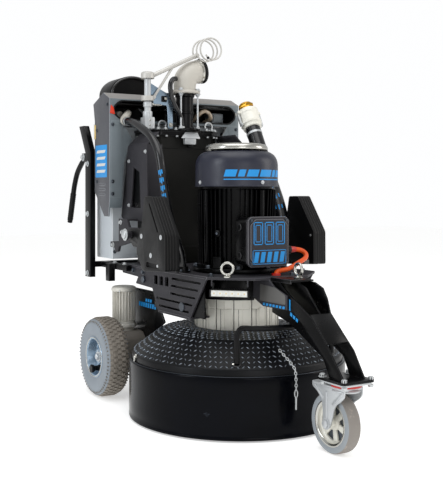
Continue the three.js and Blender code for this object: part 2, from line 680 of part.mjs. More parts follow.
function tankLid() {
  const { front, half, thickness } = LID;
  const z = TANK.top;
  const outline = [[TANK.rear, -half], [front - 42, -half], [front, 52 - half], [front, half - 52],
    [front - 42, half], [TANK.rear, half]];
  const sheet = plate('xy', outline, z, z + thickness, [circle(30, 16, [INLET.x, INLET.y])]);
  const latch = union(
    box(front - 1, front + 7, -14, 50, z - 22, z + 4),
    box(front + 2, front + 6, 0, 36, z - 62, z - 21),
  );
  return union(sheet, latch);
}

function inletColumn() {
  const { x, y, tube: radius, flange, top } = INLET;
  const bottom = TANK.top + LID.thickness + GAP;
  const pipe = lathe([[30, bottom], [flange, bottom], [flange, bottom + 6], [radius, bottom + 7],
    [radius, top - GAP], [30, top - GAP]], 16);
  const rods = [0, 1, 2, 3].map((i) => {
    const angle = Math.PI / 4 + (Math.PI / 2) * i;
    return bar('z', 5, bottom + 3, top - GAP, [58 * Math.cos(angle), 58 * Math.sin(angle)], 6);
  });
  return union(pipe, rods).translate([x, y, 0]);
}

// A cast elbow: vertical spigot, ball and a mouth that faces the operator's left.
function inletElbow() {
  const { x, y, flange, top } = INLET;
  const ball = [x, y, 1366];
  const mouth = [x, y + 76, 1382];
  const beyond = [x, y + 100, 1387];
  const sphere = (radius) => solid(new THREE.SphereGeometry(radius, 12, 8).translate(...ball));
  const outer = union(
    bar('z', flange, top, top + 12, [x, y], 16),
    bar('z', 47, top + 11, ball[2], [x, y], 14),
    sphere(52),
    rod(ball, mouth, 50, 14),
    bar('y', 20, y - 70, y, [x, 1346], 8),
  );
  const collar = rod(mouth.map((v, i) => v - [0, 1, 0.2][i]), [x, y + 89, 1384.6], 54, 14);
  return cut(union(outer, collar), bar('z', 36, top - 5, ball[2], [x, y], 12), rod(ball, beyond, 40, 12));
}

function boomMast() {
  const { x, y, radius, block, blockTop, top } = MAST;
  const base = TANK.top + LID.thickness + GAP;
  const web = [[y, 1322], [-95, 1276], [-62, 1276], [-62, base + 4], [-84, base + 4], [-90, 1222],
    [-155, 1226], [-155, 1264], [y, 1264]];
  return union(
    box(x - block, x + block, y - block, y + block, base, blockTop),
    bar('z', radius, blockTop - 1, top, [x, y], 12),
    bar('z', 20, blockTop - 1, blockTop + 26, [x, y], 12),
    bar('z', 18, 1210, 1232, [x, y], 12),
    bar('z', 10, top - 1, top + 24, [x, y], 10),
    plate('yz', web, x - 13, x - 7),
  );
}

// The boom swings on the mast and ends in an open coil that carries the hose.
function boomArm() {
  const { x, y } = MAST;
  const { capRadius, capTop, tube: radius, tipY, tipZ } = BOOM;
  const { radius: coil, wire, turns, length, centreY, centreZ } = GUIDE;
  const startAngle = Math.PI * 1.22;
  class Helix extends THREE.Curve {
    getPoint(t, target = new THREE.Vector3()) {
      const angle = startAngle - 2 * Math.PI * turns * t;
      const [y1, z1] = [centreY + coil * Math.cos(angle), centreZ + coil * Math.sin(angle)];
      return target.set(x - 14 + length * t, y1, z1);
    }
  }
  const capHub = lathe([[10.6, capTop - 29], [capRadius, capTop - 29], [capRadius, capTop - 4], [24, capTop],
    [0, capTop], [0, capTop - 4], [10.6, capTop - 4]], 14).translate([x, y, 0]);
  const first = [x - 14, centreY + coil * Math.cos(startAngle), centreZ + coil * Math.sin(startAngle)];
  const tip = [x, tipY, tipZ];
  const bore = MAST.radius + 0.8;
  const collar = lathe([[bore, 1236], [27, 1236], [27, 1256], [bore, 1256]], 12);
  return union(
    capHub,
    rod([x, y + 22, capTop - 15], tip, radius, 8),
    rod([x, y + 24, 1246], [x, -62, 1394], 5.5, 6),
    collar.translate([x, y, 0]),
    rod(tip, first, 6, 6),
    sweep(new Helix(), wire, 4, 33),
  );
}

const WATER_ROUTE = [[-452, -262, 1152], [-396, -262, 1145], [-316, -262, 1119], [-219, -262, 1074],
  [-156, -262, 1012], [-122, -262, 930], [-96, -262, 850], [-74, -258, 770], [-54, -244, 690],
  [-42, -226, 620], [-40, -218, 570], [-40, -216, 552]];
const VACUUM_ROUTE = [[-282, 262, 1128], [-225, 262, 1027], [-150, 262, 894], [-90, 260, 790],
  [-52, 248, 712], [-34, 224, 640], [-30, 206, 590], [-30, 205, 551]];
const COUPLING = {
  from: [-285, 262, 1133.5], direction: [-0.485, 0, 0.8745], leverPivot: 72, leverOffset: 53,
};

function couplingPoint(distance) {
  return COUPLING.from.map((value, i) => value + COUPLING.direction[i] * distance);
}

// Where a lever turns: its own Z runs along the coupling and its own X points outwards.
function leverFrame(side) {
  const tilt = Math.atan2(COUPLING.direction[0], COUPLING.direction[2]);
  const [x, y, z] = couplingPoint(COUPLING.leverPivot);
  return new THREE.Matrix4().makeTranslation(x, y + side * COUPLING.leverOffset, z)
    .multiply(new THREE.Matrix4().makeRotationY(tilt))
    .multiply(new THREE.Matrix4().makeRotationZ((side * Math.PI) / 2));
}

function camlockCoupling() {
  const ears = union(
    [-1, 1].map((end) => box(-12, 5, 9 * end - 2, 9 * end + 2, -7, 4)),
    bar('y', 2.4, -10, 10, [0, 0], 8),
  );
  return union(
    rod(couplingPoint(-4), couplingPoint(12), 40, 12),
    rod(couplingPoint(11), couplingPoint(84), 46, 12),
    SIDES.map(([, side]) => ears.transform(leverFrame(side).elements)),
  );
}

function camlockCap() {
  return union(
    rod(couplingPoint(84 + GAP), couplingPoint(120), 32, 12),
    rod(couplingPoint(100), couplingPoint(112), 36, 8),
  );
}

// A lever lies along the coupling, hinged near its upper end between two ears.
function camlockLever() {
  const blade = union(box(-5, 5, -6, 6, -58, 4), box(-6, 3, -9, 9, -66, -50));
  return cut(blade, bar('y', 3, -20, 20, [0, 0], 8));
}

function buildColumn() {
  add('dust_tank', dustTank(), FINISH.blackPaint);
  add('tank_lid', tankLid(), FINISH.blackPaint);
  add('inlet_column', inletColumn(), FINISH.darkSteel);
  add('inlet_elbow', inletElbow(), FINISH.whiteCasting);
  add('boom_mast', boomMast(), FINISH.zinc);
  add('boom_arm', boomArm(), FINISH.brightSteel);
  add('water_pipe', tube(WATER_ROUTE, 16.5, 8, 18), FINISH.blackPaint);
  add('vacuum_pipe', tube(VACUUM_ROUTE, 33, 10, 12), FINISH.blackPaint);
  add('camlock_coupling', camlockCoupling(), FINISH.castAluminium);
  add('camlock_cap', camlockCap(), FINISH.brass);
  for (const [name, side] of SIDES) {
    const lever = add(`camlock_lever_${name}`, camlockLever(), FINISH.castAluminium);
    lever.applyMatrix4(leverFrame(side));
  }
}

// ---------------------------------------------------------------- operator's end

function hood() {
  const { half, front, wall } = HOOD;
  const outer = [[-500, 752], [front, 824], [front, 1250], [-551, 1279], [-662, 1238], [-646, 1163],
    [-646, 857], [-544, 752]];
  const inner = [[front - wall, 700], [front - wall, 1246], [-551, 1272], [-700, 1217], [-700, 700]];
  const lower = mirrorOutline([[-258, 1150], [-214, 1079], [-252, 980], [-261, 824], [-261, 700]]);
  const recess = mirrorOutline([[-270, 1164], [-298, 1186], [-300, 1214], [-270, 1240]]);
  return cut(
    plate('xz', outer, -half, half),
    plate('xz', inner, wall - half, half - wall),
    plate('yz', lower, front - 20, front + 10),
    plate('yz', recess, front - 20, front + 10),
  );
}

function controlConsole() {
  const arch = [[-236, 1262], [-4, 1262]];
  const crown = Array.from({ length: 9 }, (_, i) => {
    const angle = (Math.PI * i) / 8;
    return [-120 + 116 * Math.cos(angle), 1290 + 86 * Math.sin(angle)];
  });
  const pod = plate('yz', [...arch, ...crown], -790, -672);
  const liner = cut(box(-640, -496, -304, 304, 1156, 1232), box(-630, -480, -296, 296, 1162, 1226));
  const panel = box(-790, -634, -236, 236, 1160, 1228);
  const riser = box(-790, -672, -236, -4, 1227, 1263);
  return union(pod, liner, panel, riser);
}

function cabinetBody() {
  const { front, rear, half, bottom, top, wall } = CABINET;
  return cut(box(rear, front, -half, half, bottom, top),
    box(rear - 10, front - wall, wall - half, half - wall, bottom + wall, top - wall));
}

function cabinetDoor() {
  const { rear, bottom, top } = CABINET;
  const outer = rear - GAP;
  const skin = box(outer - DOOR.thickness, outer, -DOOR.half, DOOR.half, bottom + 6, top - 6);
  const back = outer - DOOR.thickness;
  const handle = box(back - 12, back + 1, -252, -232, 830, 900);
  const pan = box(back + 3, outer + 10, 3 - DOOR.half, DOOR.half - 3, bottom + 9, top - 9);
  return cut(union(skin, handle), pan);
}

function pushFrame() {
  const { inner, outer, front, rear, bottom, bend } = FRAME_POST;
  const post = [[front, bottom], [front, bend], [-744, 1150], [-799, 1150], [rear, bend], [rear, bottom]];
  const parts = [box(rear, rear + 28, 1 - outer, outer - 1, 525, 549)];
  for (const [, side] of SIDES) {
    parts.push(sidePlate(side, post, inner, outer));
    parts.push(sideBox(side, rear, -440, PLATE.halfWidth + GAP, 266, 525, 549));
    parts.push(sideBox(side, -596, -560, 262, 290, 474, 548));
    for (const [from, to] of [[inner, inner + 4], [outer - 4, outer]]) {
      parts.push(sideBox(side, HANDLE.pivotX - 16, rear + 2, from, to,
        HANDLE.pivotZ - 18, HANDLE.pivotZ + 18));
    }
    parts.push(sideBar(side, 6, inner + 1, outer - 1, [HANDLE.pivotX, HANDLE.pivotZ], 10));
  }
  return union(parts);
}

function operatorHandle(side) {
  const middle = (side * (FRAME_POST.inner + FRAME_POST.outer)) / 2;
  const { pivotX, pivotZ, radius } = HANDLE;
  const grip = tube([[pivotX - 12, middle, pivotZ - 4], [-800, middle, 984], [-850, middle, 944],
    [-880, middle, 898], [-900, middle, 850], [-944, middle, 716]], radius, 8, 10);
  const eye = bar('y', 14, middle - 8, middle + 8, [pivotX, pivotZ], 12);
  const slit = cut(grip, box(pivotX - 30, pivotX + 20, middle + 8, middle + 30, 900, 1100),
    box(pivotX - 30, pivotX + 20, middle - 30, middle - 8, 900, 1100));
  return cut(union(slit, eye), bar('y', 6.6, middle - 20, middle + 20, [pivotX, pivotZ], 10));
}

function emergencyStop() {
  return union(bar('x', 20, -826, -812, [-178, 1312], 14), bar('x', 9, -813, -794, [-178, 1312], 10));
}

function buildOperatorEnd() {
  add('hood', hood(), FINISH.hoodPaint);
  const buttonBore = bar('x', 9.8, -800, -770, [-178, 1312], 10);
  add('control_console', cut(controlConsole(), buttonBore), FINISH.blackPlastic);
  add('cabinet_body', cabinetBody(), FINISH.cabinetPaint);
  add('cabinet_door', cabinetDoor(), FINISH.cabinetPaint);
  add('push_frame', pushFrame(), FINISH.blackPaint);
  add('emergency_stop', emergencyStop(), FINISH.redPlastic);
  for (const [name, side] of SIDES) add(`handle_${name}`, operatorHandle(side), FINISH.blackPaint);
}

const CHAIN_ROUTE = [[350, -44, 300], [378, -38, 279], [405, -32, 259], [419, -28, 241],
  [422, -26, 212], [422, -25, 176]];

buildHead();
buildMotor();
buildFrame();
buildWorkLight();
buildCaster();
buildWheels();
buildWeights();
buildColumn();
buildOperatorEnd();
add('pin_chain', tube(CHAIN_ROUTE, 3, 5, 9), FINISH.zinc);

export default machine;
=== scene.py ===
"""Walk-behind concrete grinder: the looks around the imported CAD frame.

Shapes are made in millimetres, in the head's own frame: the origin is on the floor under the
grinding head's axis, +X forward, +Y to the machine's left, +Z up. TO_ROW takes them to the row
frame, in metres.
"""
import json
import math
import random

import bmesh
import bpy
from mathutils import Matrix, Vector


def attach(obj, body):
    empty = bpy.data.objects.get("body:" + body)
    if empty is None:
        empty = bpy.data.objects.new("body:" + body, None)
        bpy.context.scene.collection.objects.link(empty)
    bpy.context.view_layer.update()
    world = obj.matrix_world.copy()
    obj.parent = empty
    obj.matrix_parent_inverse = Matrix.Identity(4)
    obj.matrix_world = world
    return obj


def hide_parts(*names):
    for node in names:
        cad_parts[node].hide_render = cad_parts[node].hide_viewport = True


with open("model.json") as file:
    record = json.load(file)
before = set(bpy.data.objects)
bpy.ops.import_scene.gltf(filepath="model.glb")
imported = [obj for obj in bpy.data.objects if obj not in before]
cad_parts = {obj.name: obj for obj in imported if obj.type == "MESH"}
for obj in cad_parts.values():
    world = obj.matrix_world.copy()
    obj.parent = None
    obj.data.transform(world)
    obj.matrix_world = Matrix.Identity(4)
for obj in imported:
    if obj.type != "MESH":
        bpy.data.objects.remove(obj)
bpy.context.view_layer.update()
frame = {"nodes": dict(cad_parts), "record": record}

HEAD_AXIS_X = 0.115
TO_ROW = Matrix.Translation((HEAD_AXIS_X, 0, 0)) @ Matrix.Scale(0.001, 4)
SIDES = (("left", 1), ("right", -1))
rng = random.Random(7)

# ---------------------------------------------------------------- camera

CAMERA_PLACE = (2821.5, -1793.1, 848.0)
CAMERA_TURN = 60.0        # degrees anticlockwise from +Y

camera_data = bpy.data.cameras.new("camera")
camera_data.lens = 61.92
camera_data.sensor_width = 36
camera_data.shift_x = 0.043
camera_data.shift_y = -0.1124
camera_data.clip_end = 50
camera = bpy.data.objects.new("camera", camera_data)
camera.location = TO_ROW @ Vector(CAMERA_PLACE)
camera.rotation_euler = (math.radians(90), 0, math.radians(CAMERA_TURN))
bpy.context.scene.collection.objects.link(camera)
bpy.context.scene.camera = camera

# ---------------------------------------------------------------- materials


def linear(hex_colour):
    channels = [int(hex_colour[i:i + 2], 16) / 255 for i in (1, 3, 5)]
    return tuple(c / 12.92 if c <= 0.04045 else ((c + 0.055) / 1.055) ** 2.4 for c in channels) + (1,)


def shade(colour, factor):
    return tuple(min(1, c * factor) for c in colour[:3]) + (1,)


class Nodes:
    """A short way to add nodes to one material's tree."""

    def __init__(self, material):
        material.use_nodes = True
        self.tree = material.node_tree
        self.bsdf = self.tree.nodes["Principled BSDF"]
        coords = self.tree.nodes.new("ShaderNodeTexCoord")
        self.place = coords.outputs["Object"]

    def link(self, source, socket):
        self.tree.links.new(source, socket)

    def noise(self, scale, detail=4, rough=0.55, stretch=None):
        node = self.tree.nodes.new("ShaderNodeTexNoise")
        node.inputs["Scale"].default_value = scale
        node.inputs["Detail"].default_value = detail
        node.inputs["Roughness"].default_value = rough
        source = self.place
        if stretch:
            mapping = self.tree.nodes.new("ShaderNodeMapping")
            mapping.inputs["Scale"].default_value = stretch
            self.link(self.place, mapping.inputs["Vector"])
            source = mapping.outputs["Vector"]
        self.link(source, node.inputs["Vector"])
        return node.outputs["Fac"]

    def fit(self, value, low, high, to_low=0.0, to_high=1.0):
        node = self.tree.nodes.new("ShaderNodeMapRange")
        for name, number in (("From Min", low), ("From Max", high), ("To Min", to_low),
                             ("To Max", to_high)):
            node.inputs[name].default_value = number
        self.link(value, node.inputs["Value"])
        return node.outputs["Result"]

    def maths(self, operation, a, b):
        node = self.tree.nodes.new("ShaderNodeMath")
        node.operation = operation
        for socket, value in ((node.inputs[0], a), (node.inputs[1], b)):
            if isinstance(value, (int, float)):
                socket.default_value = value
            else:
                self.link(value, socket)
        return node.outputs[0]

    def mix(self, factor, a, b):
        node = self.tree.nodes.new("ShaderNodeMix")
        node.data_type = "RGBA"
        self.link(factor, node.inputs[0])
        for socket, value in ((node.inputs[6], a), (node.inputs[7], b)):
            if isinstance(value, tuple):
                socket.default_value = value
            else:
                self.link(value, socket)
        return node.outputs[2]

    def bump(self, height, distance, strength=1.0):
        node = self.tree.nodes.new("ShaderNodeBump")
        node.inputs["Distance"].default_value = distance
        node.inputs["Strength"].default_value = strength
        self.link(height, node.inputs["Height"])
        self.link(node.outputs["Normal"], self.bsdf.inputs["Normal"])

    def height(self):
        split = self.tree.nodes.new("ShaderNodeSeparateXYZ")
        self.link(self.place, split.inputs[0])
        return split.outputs["Z"]


def surface(name, colour, rough, metal=0.0, spread=0.14, grain=0.0, grain_scale=700.0, smudge=0.08,
            dust=0.0, coat=0.0, brushed=None, specks=None, gloss=0.5, scuffs=0.0):
    """A paint, plastic, rubber or metal with mottling, grain, smudges, scuffs and dust."""
    material = bpy.data.materials.new(name)
    nodes = Nodes(material)
    base = linear(colour)
    mottle = nodes.noise(7, 4, 0.5)
    result = nodes.mix(nodes.fit(mottle, 0.32, 0.68), shade(base, 1 - spread), shade(base, 1 + spread))
    if specks:
        speck = nodes.fit(nodes.noise(specks[1], 2), 0.62, 0.7)
        result = nodes.mix(nodes.maths("MULTIPLY", speck, specks[2]), result, linear(specks[0]))
    if scuffs:
        lines = nodes.fit(nodes.noise(9, 8, 0.75, (1.0, 1.0, 3.2)), 0.7, 0.74)
        result = nodes.mix(nodes.maths("MULTIPLY", lines, scuffs), result, linear("#5c6470"))
    if dust:
        low = nodes.fit(nodes.height(), 0.5, 0.0)
        patchy = nodes.fit(nodes.noise(11, 5, 0.65), 0.45, 0.75)
        result = nodes.mix(nodes.maths("MULTIPLY", nodes.maths("MULTIPLY", low, patchy), dust),
                           result, linear("#8d8a84"))
    nodes.link(result, nodes.bsdf.inputs["Base Color"])
    patches = nodes.noise(11, 3, 0.5, brushed)
    nodes.link(nodes.fit(patches, 0.3, 0.7, max(0.03, rough - smudge), min(1.0, rough + smudge)),
               nodes.bsdf.inputs["Roughness"])
    nodes.bsdf.inputs["Metallic"].default_value = metal
    nodes.bsdf.inputs["Specular IOR Level"].default_value = gloss
    if coat:
        nodes.bsdf.inputs["Coat Weight"].default_value = coat
        nodes.bsdf.inputs["Coat Roughness"].default_value = 0.12
    if grain:
        fine = nodes.noise(grain_scale, 3, 0.6, brushed)
        nodes.bump(fine, grain)
    return material


MAT = {
    "skirt": surface("skirt_gloss_black", "#030408", 0.2, spread=0.35, smudge=0.05, grain=0.0005,
                     grain_scale=12, gloss=0.07, scuffs=0.35),
    "tread": surface("tread_plate_black", "#07080b", 0.36, grain=0.00025, grain_scale=900, spread=0.25,
                     gloss=0.15),
    # the drops' light metal grey stands in for the glints on their crests: a painted highlight
    "tread_drops": surface("tread_drops_painted_glint", "#777e87", 0.34, metal=0.6, grain=0.0002,
                           grain_scale=600, spread=0.35),
    "cast": surface("cast_aluminium", "#dbd9cf", 0.48, metal=0.15, grain=0.0004, grain_scale=420,
                    spread=0.07, smudge=0.1),
    "gloss_black": surface("gloss_black_paint", "#040405", 0.3, grain=0.00012, grain_scale=500,
                           spread=0.25, gloss=0.16, smudge=0.05),
    # The *_edge finishes are lighter copies of their paints for the bevels: a painted highlight along the
    # edges.
    "black_edge": surface("black_paint_edge_highlight", "#2e2e30", 0.34, grain=0.0001, grain_scale=500, spread=0.2),
    "frame": surface("textured_grey_paint", "#302f33", 0.6, grain=0.0003, grain_scale=1400, spread=0.1,
                     gloss=0.2, specks=("#434247", 1500, 0.4)),
    "frame_edge": surface("grey_paint_edge_highlight", "#5d5c60", 0.42, grain=0.0001, grain_scale=800),
    "weight": surface("weight_black_paint", "#0b0b0c", 0.42, grain=0.0003, grain_scale=1200, spread=0.2,
                      gloss=0.16),
    "weight_edge": surface("weight_paint_edge_highlight", "#1c1a19", 0.36, grain=0.0001, grain_scale=800),
    "motor": surface("motor_black_enamel", "#020203", 0.3, grain=0.0003, grain_scale=500, spread=0.2,
                     gloss=0.12),
    "cowl": surface("cowl_blue_black", "#191c2b", 0.36, grain=0.00022, grain_scale=1100, spread=0.1,
                    gloss=0.45),
    "bright": surface("bright_steel", "#b9b8b2", 0.22, metal=1.0, spread=0.08, smudge=0.08, grain=0.0001,
                      grain_scale=260),
    "wire": surface("stainless_wire", "#b9b7b2", 0.45, metal=0.35, spread=0.12, smudge=0.1, grain=4e-05,
                    grain_scale=260),
    "zinc": surface("zinc_plate", "#b9bcbd", 0.36, metal=0.55, spread=0.12, smudge=0.12, grain=0.0002,
                    grain_scale=300, specks=("#d0d3d5", 90, 0.4)),
    "dark_steel": surface("dark_steel", "#4a4f56", 0.34, metal=0.85, spread=0.14, grain=0.0002,
                          grain_scale=500, brushed=(1, 1, 0.05)),
    "hood_front": surface("hood_blue_grey_paint", "#6b7479", 0.42, grain=0.00025, grain_scale=1300,
                          spread=0.06, gloss=0.4),
    "hood": surface("hood_grey_paint", "#45464b", 0.42, grain=0.00025, grain_scale=1300, spread=0.06,
                    specks=("#5a5b60", 1500, 0.4)),
    "hood_edge": surface("hood_paint_edge_highlight", "#8d9196", 0.4, grain=0.0001, grain_scale=900),
    "cabinet": surface("cabinet_pale_grey", "#b4babf", 0.5, grain=0.0002, grain_scale=1300, spread=0.04,
                       dust=0.1),
    "cabinet_edge": surface("cabinet_paint_edge_highlight", "#d8dcdf", 0.45, grain=0.0001, grain_scale=900),
    "rubber": surface("grey_tyre_rubber", "#857e75", 0.72, grain=0.0004, grain_scale=600, spread=0.1,
                      smudge=0.1, dust=0.3, specks=("#666562", 240, 0.5), gloss=0.35),
    "caster_rubber": surface("caster_grey_rubber", "#8b9196", 0.55, grain=0.0003, grain_scale=500,
                             spread=0.08, dust=0.15),
    "plastic": surface("black_plastic", "#050506", 0.42, grain=0.0003, grain_scale=1000, spread=0.2,
                       gloss=0.2),
    "hose": surface("black_hose", "#08090c", 0.2, grain=5e-05, spread=0.2),
    "tank": surface("tank_dark_grey", "#151513", 0.5, grain=0.0004, grain_scale=900, spread=0.18,
                    gloss=0.15),
    "orange": surface("orange_cable", "#d9500c", 0.42, grain=0.0002, grain_scale=700, spread=0.1,
                      gloss=0.4),
    "brass": surface("brass", "#b98d34", 0.28, metal=1.0, spread=0.14, grain=0.0002, grain_scale=300),
    "white": surface("white_casting", "#b7b3aa", 0.46, grain=0.0005, grain_scale=260, spread=0.07,
                     dust=0.1),
    "red": surface("red_plastic", "#b01c12", 0.32, spread=0.08, grain=0.0001, grain_scale=500),
    "amber": surface("marker_lens", "#cf2f08", 0.2, spread=0.14, grain=0.0003, grain_scale=260),
    "blue": surface("blue_marking", "#1f86c9", 0.42, spread=0.06, smudge=0.06, grain=0.0001,
                    grain_scale=900, gloss=0.3),
    "lens": surface("lamp_lens", "#d2d2cc", 0.16, spread=0.05, coat=0.6, grain=0.0004, grain_scale=120),
    "sidewall": surface("tyre_sidewall", "#858c93", 0.62, grain=0.0003, grain_scale=420, spread=0.07,
                        dust=0.15, gloss=0.35),
    "caster_tread": surface("caster_tread_worn", "#857f79", 0.66, grain=0.0004, grain_scale=420,
                            spread=0.12, dust=0.2, specks=("#a59c92", 60, 0.4)),
    # a lighter grey for the hood's upward faces: painted light on the lit top
    "hood_top": surface("hood_top_painted_highlight", "#7d7a77", 0.42, grain=0.0002, grain_scale=1300,
                        spread=0.06),
    "pale_zinc": surface("pale_zinc", "#b9bcbe", 0.34, metal=0.35, spread=0.06, grain=0.0001,
                         grain_scale=300),
    "panel_grey": surface("arm_panel_grey", "#565553", 0.5, spread=0.06, grain=0.0001, grain_scale=900),
    "shine_black": surface("shiny_black_rim", "#0b0b0c", 0.14, spread=0.2, smudge=0.05, coat=0.5,
                           grain=0.00005, grain_scale=300),
    "led": surface("led_yellow", "#cdb069", 0.3, spread=0.08, grain=0.0001, grain_scale=600),
    "label": surface("plain_label", "#c4c5c2", 0.5, spread=0.04, smudge=0.05, grain=0.0001,
                     grain_scale=900),
    "clear_hose": surface("clear_hose", "#a3937f", 0.3, spread=0.12, coat=0.5, grain=0.0002,
                          grain_scale=300),
    "rim": surface("wheel_rim_zinc", "#8ea2b4", 0.28, metal=0.8, spread=0.12, smudge=0.1, grain=0.0002,
                   grain_scale=220, specks=("#c3ccd4", 70, 0.4)),
    "drive": surface("drive_motor_silver", "#cfccc3", 0.46, metal=0.2, spread=0.08, grain=0.0005,
                     grain_scale=500, dust=0.05),
    "gearbox": surface("gearbox_cast", "#8a847c", 0.55, metal=0.1, spread=0.12, grain=0.0006,
                       grain_scale=380, dust=0.25),
}

# ---------------------------------------------------------------- mesh helpers


def lathe(bm, profile, segments=96, place=Matrix.Identity(4), closed=True):
    """Adds a body turned about local Z from (radius, z) points; ends on the axis are joined."""
    rings = []
    for radius, z in profile:
        if radius < 1e-6:
            rings.append([bm.verts.new(place @ Vector((0, 0, z)))])
            continue
        rings.append([
            bm.verts.new(place @ Vector((radius * math.cos(a), radius * math.sin(a), z)))
            for a in (2 * math.pi * i / segments for i in range(segments))
        ])
    pairs = list(zip(rings, rings[1:]))
    if closed and not (len(rings[0]) == 1 or len(rings[-1]) == 1):
        pairs.append((rings[-1], rings[0]))
    for low, high in pairs:
        for i in range(segments):
            j = (i + 1) % segments
            corners = [low[i % len(low)], low[j % len(low)], high[j % len(high)], high[i % len(high)]]
            unique = list(dict.fromkeys(corners))
            if len(unique) > 2:
                bm.faces.new(unique)


AXIS_TURN = {
    "z": Matrix.Identity(4),
    "x": Matrix.Rotation(math.radians(90), 4, "Y"),
    "y": Matrix.Rotation(math.radians(-90), 4, "X"),
}


def moved(x, y, z):
    return Matrix.Translation((x, y, z))


def turned(degrees):
    return Matrix.Rotation(math.radians(degrees), 4, "Z")


def along(start, end):
    """The frame whose Z runs from start to end and whose origin is at start."""
    start, end = Vector(start), Vector(end)
    turn = (end - start).to_track_quat("Z", "Y").to_matrix().to_4x4()
    return Matrix.Translation(start) @ turn


def disc_profile(radius, low, high, bevel=1.0):
    return [(0, low), (radius - bevel, low), (radius, low + bevel), (radius, high - bevel),
            (radius - bevel, high), (0, high)]


def cylinder(bm, start, end, radius, segments=32, bevel=1.0):
    length = (Vector(end) - Vector(start)).length
    bevel = min(bevel, radius * 0.4, length * 0.4)
    lathe(bm, disc_profile(radius, 0, length, bevel), segments, along(start, end))


def block(bm, x0, x1, y0, y1, z0, z1, place=Matrix.Identity(4)):
    corners = [Vector((x, y, z)) for x in (x0, x1) for y in (y0, y1) for z in (z0, z1)]
    v = [bm.verts.new(place @ c) for c in corners]
    for face in ((0, 1, 3, 2), (4, 6, 7, 5), (0, 4, 5, 1), (2, 3, 7, 6), (0, 2, 6, 4), (1, 5, 7, 3)):
        bm.faces.new([v[i] for i in face])


def wedge(bm, points):
    """A solid with eight corners: four round one end, then four round the other."""
    v = [bm.verts.new(q) for q in points]
    for face in ((0, 3, 2, 1), (4, 5, 6, 7), (0, 1, 5, 4), (1, 2, 6, 5), (2, 3, 7, 6), (3, 0, 4, 7)):
        bm.faces.new([v[i] for i in face])


PLANE_POINT = {
    "xy": lambda u, v, w: Vector((u, v, w)),
    "xz": lambda u, v, w: Vector((u, w, v)),
    "yz": lambda u, v, w: Vector((w, u, v)),
}


def prism(bm, plane, outline, low, high, place=Matrix.Identity(4)):
    point = PLANE_POINT[plane]
    bottom = [bm.verts.new(place @ point(u, v, low)) for u, v in outline]
    top = [bm.verts.new(place @ point(u, v, high)) for u, v in outline]
    bm.faces.new(bottom)
    bm.faces.new(top)
    for i in range(len(outline)):
        j = (i + 1) % len(outline)
        bm.faces.new((bottom[i], bottom[j], top[j], top[i]))


def rect(u0, u1, v0, v1):
    return [(u0, v0), (u1, v0), (u1, v1), (u0, v1)]


def slant(start, width, low, high, lean):
    """The outline of a bar whose upper edge is shifted along by lean."""
    return [(start, low), (start + width, low), (start + width + lean, high), (start + lean, high)]


def rounded(outline, radius, steps=5):
    """The outline with each corner turned into an arc of about that radius."""
    points = []
    count = len(outline)
    for i in range(count):
        before, here, after = (Vector(outline[(i + k) % count]) for k in (-1, 0, 1))
        to_before, to_after = (before - here), (after - here)
        reach = min(radius, to_before.length * 0.45, to_after.length * 0.45)
        a = here + to_before.normalized() * reach
        b = here + to_after.normalized() * reach
        for k in range(steps + 1):
            t = k / steps
            points.append(tuple(a * (1 - t) ** 2 + here * (2 * t * (1 - t)) + b * t * t))
    return points


def spline(points, steps=8):
    """A smooth line through the points, as a list of Vectors."""
    p = [Vector(q) for q in points]
    p = [p[0] * 2 - p[1]] + p + [p[-1] * 2 - p[-2]]
    line = []
    for i in range(1, len(p) - 2):
        for k in range(steps):
            t = k / steps
            line.append(0.5 * ((2 * p[i]) + (p[i + 1] - p[i - 1]) * t
                               + (2 * p[i - 1] - 5 * p[i] + 4 * p[i + 1] - p[i + 2]) * t * t
                               + (3 * p[i] - p[i - 1] - 3 * p[i + 1] + p[i + 2]) * t ** 3))
    line.append(p[-2])
    return line


def sweep(bm, line, radius, sides=16, closed=False):
    """A round tube along a line; radius is a number or a function of the share of the way."""
    count = len(line)
    tangents = []
    for i in range(count):
        before = line[i - 1] if i or closed else line[0]
        after = line[(i + 1) % count] if i < count - 1 or closed else line[-1]
        tangents.append((after - before).normalized())
    normal = tangents[0].orthogonal().normalized()
    rings = []
    for i, (point, tangent) in enumerate(zip(line, tangents)):
        normal = (normal - tangent * normal.dot(tangent)).normalized()
        across = tangent.cross(normal)
        r = radius(i / (count - 1)) if callable(radius) else radius
        rings.append([
            bm.verts.new(point + (normal * math.cos(a) + across * math.sin(a)) * r)
            for a in (2 * math.pi * k / sides for k in range(sides))
        ])
    pairs = list(zip(rings, rings[1:]))
    if closed:
        pairs.append((rings[-1], rings[0]))
    else:
        bm.faces.new(rings[0])
        bm.faces.new(rings[-1])
    for low, high in pairs:
        for k in range(sides):
            m = (k + 1) % sides
            bm.faces.new((low[k], low[m], high[m], high[k]))


def torus(bm, point, count, radius, sides):
    """A ring of round wire; point gives its centre line at an angle."""
    sweep(bm, [point(2 * math.pi * k / count) for k in range(count)], radius, sides, closed=True)


def bolt(bm, place, outward, across=13, height=8, washer=True, hexagon=True):
    """A bolt head on a washer, standing on a surface point and pointing outwards."""
    start = Vector(place)
    direction = Vector(outward).normalized()
    frame_here = along(start, start + direction)
    low = 0.0
    if washer:
        lathe(bm, disc_profile(across * 0.85, 0, 2, 0.4), 20, frame_here)
        low = 1.9
    radius = across / math.sqrt(3)
    if hexagon:
        lathe(bm, [(0, low), (radius, low), (radius, low + height * 0.8), (radius * 0.82, low + height),
                   (0, low + height)], 6, frame_here)
    else:
        lathe(bm, [(0, low), (radius, low), (radius, low + height * 0.5), (radius * 0.75, low + height),
                   (0, low + height)], 20, frame_here)


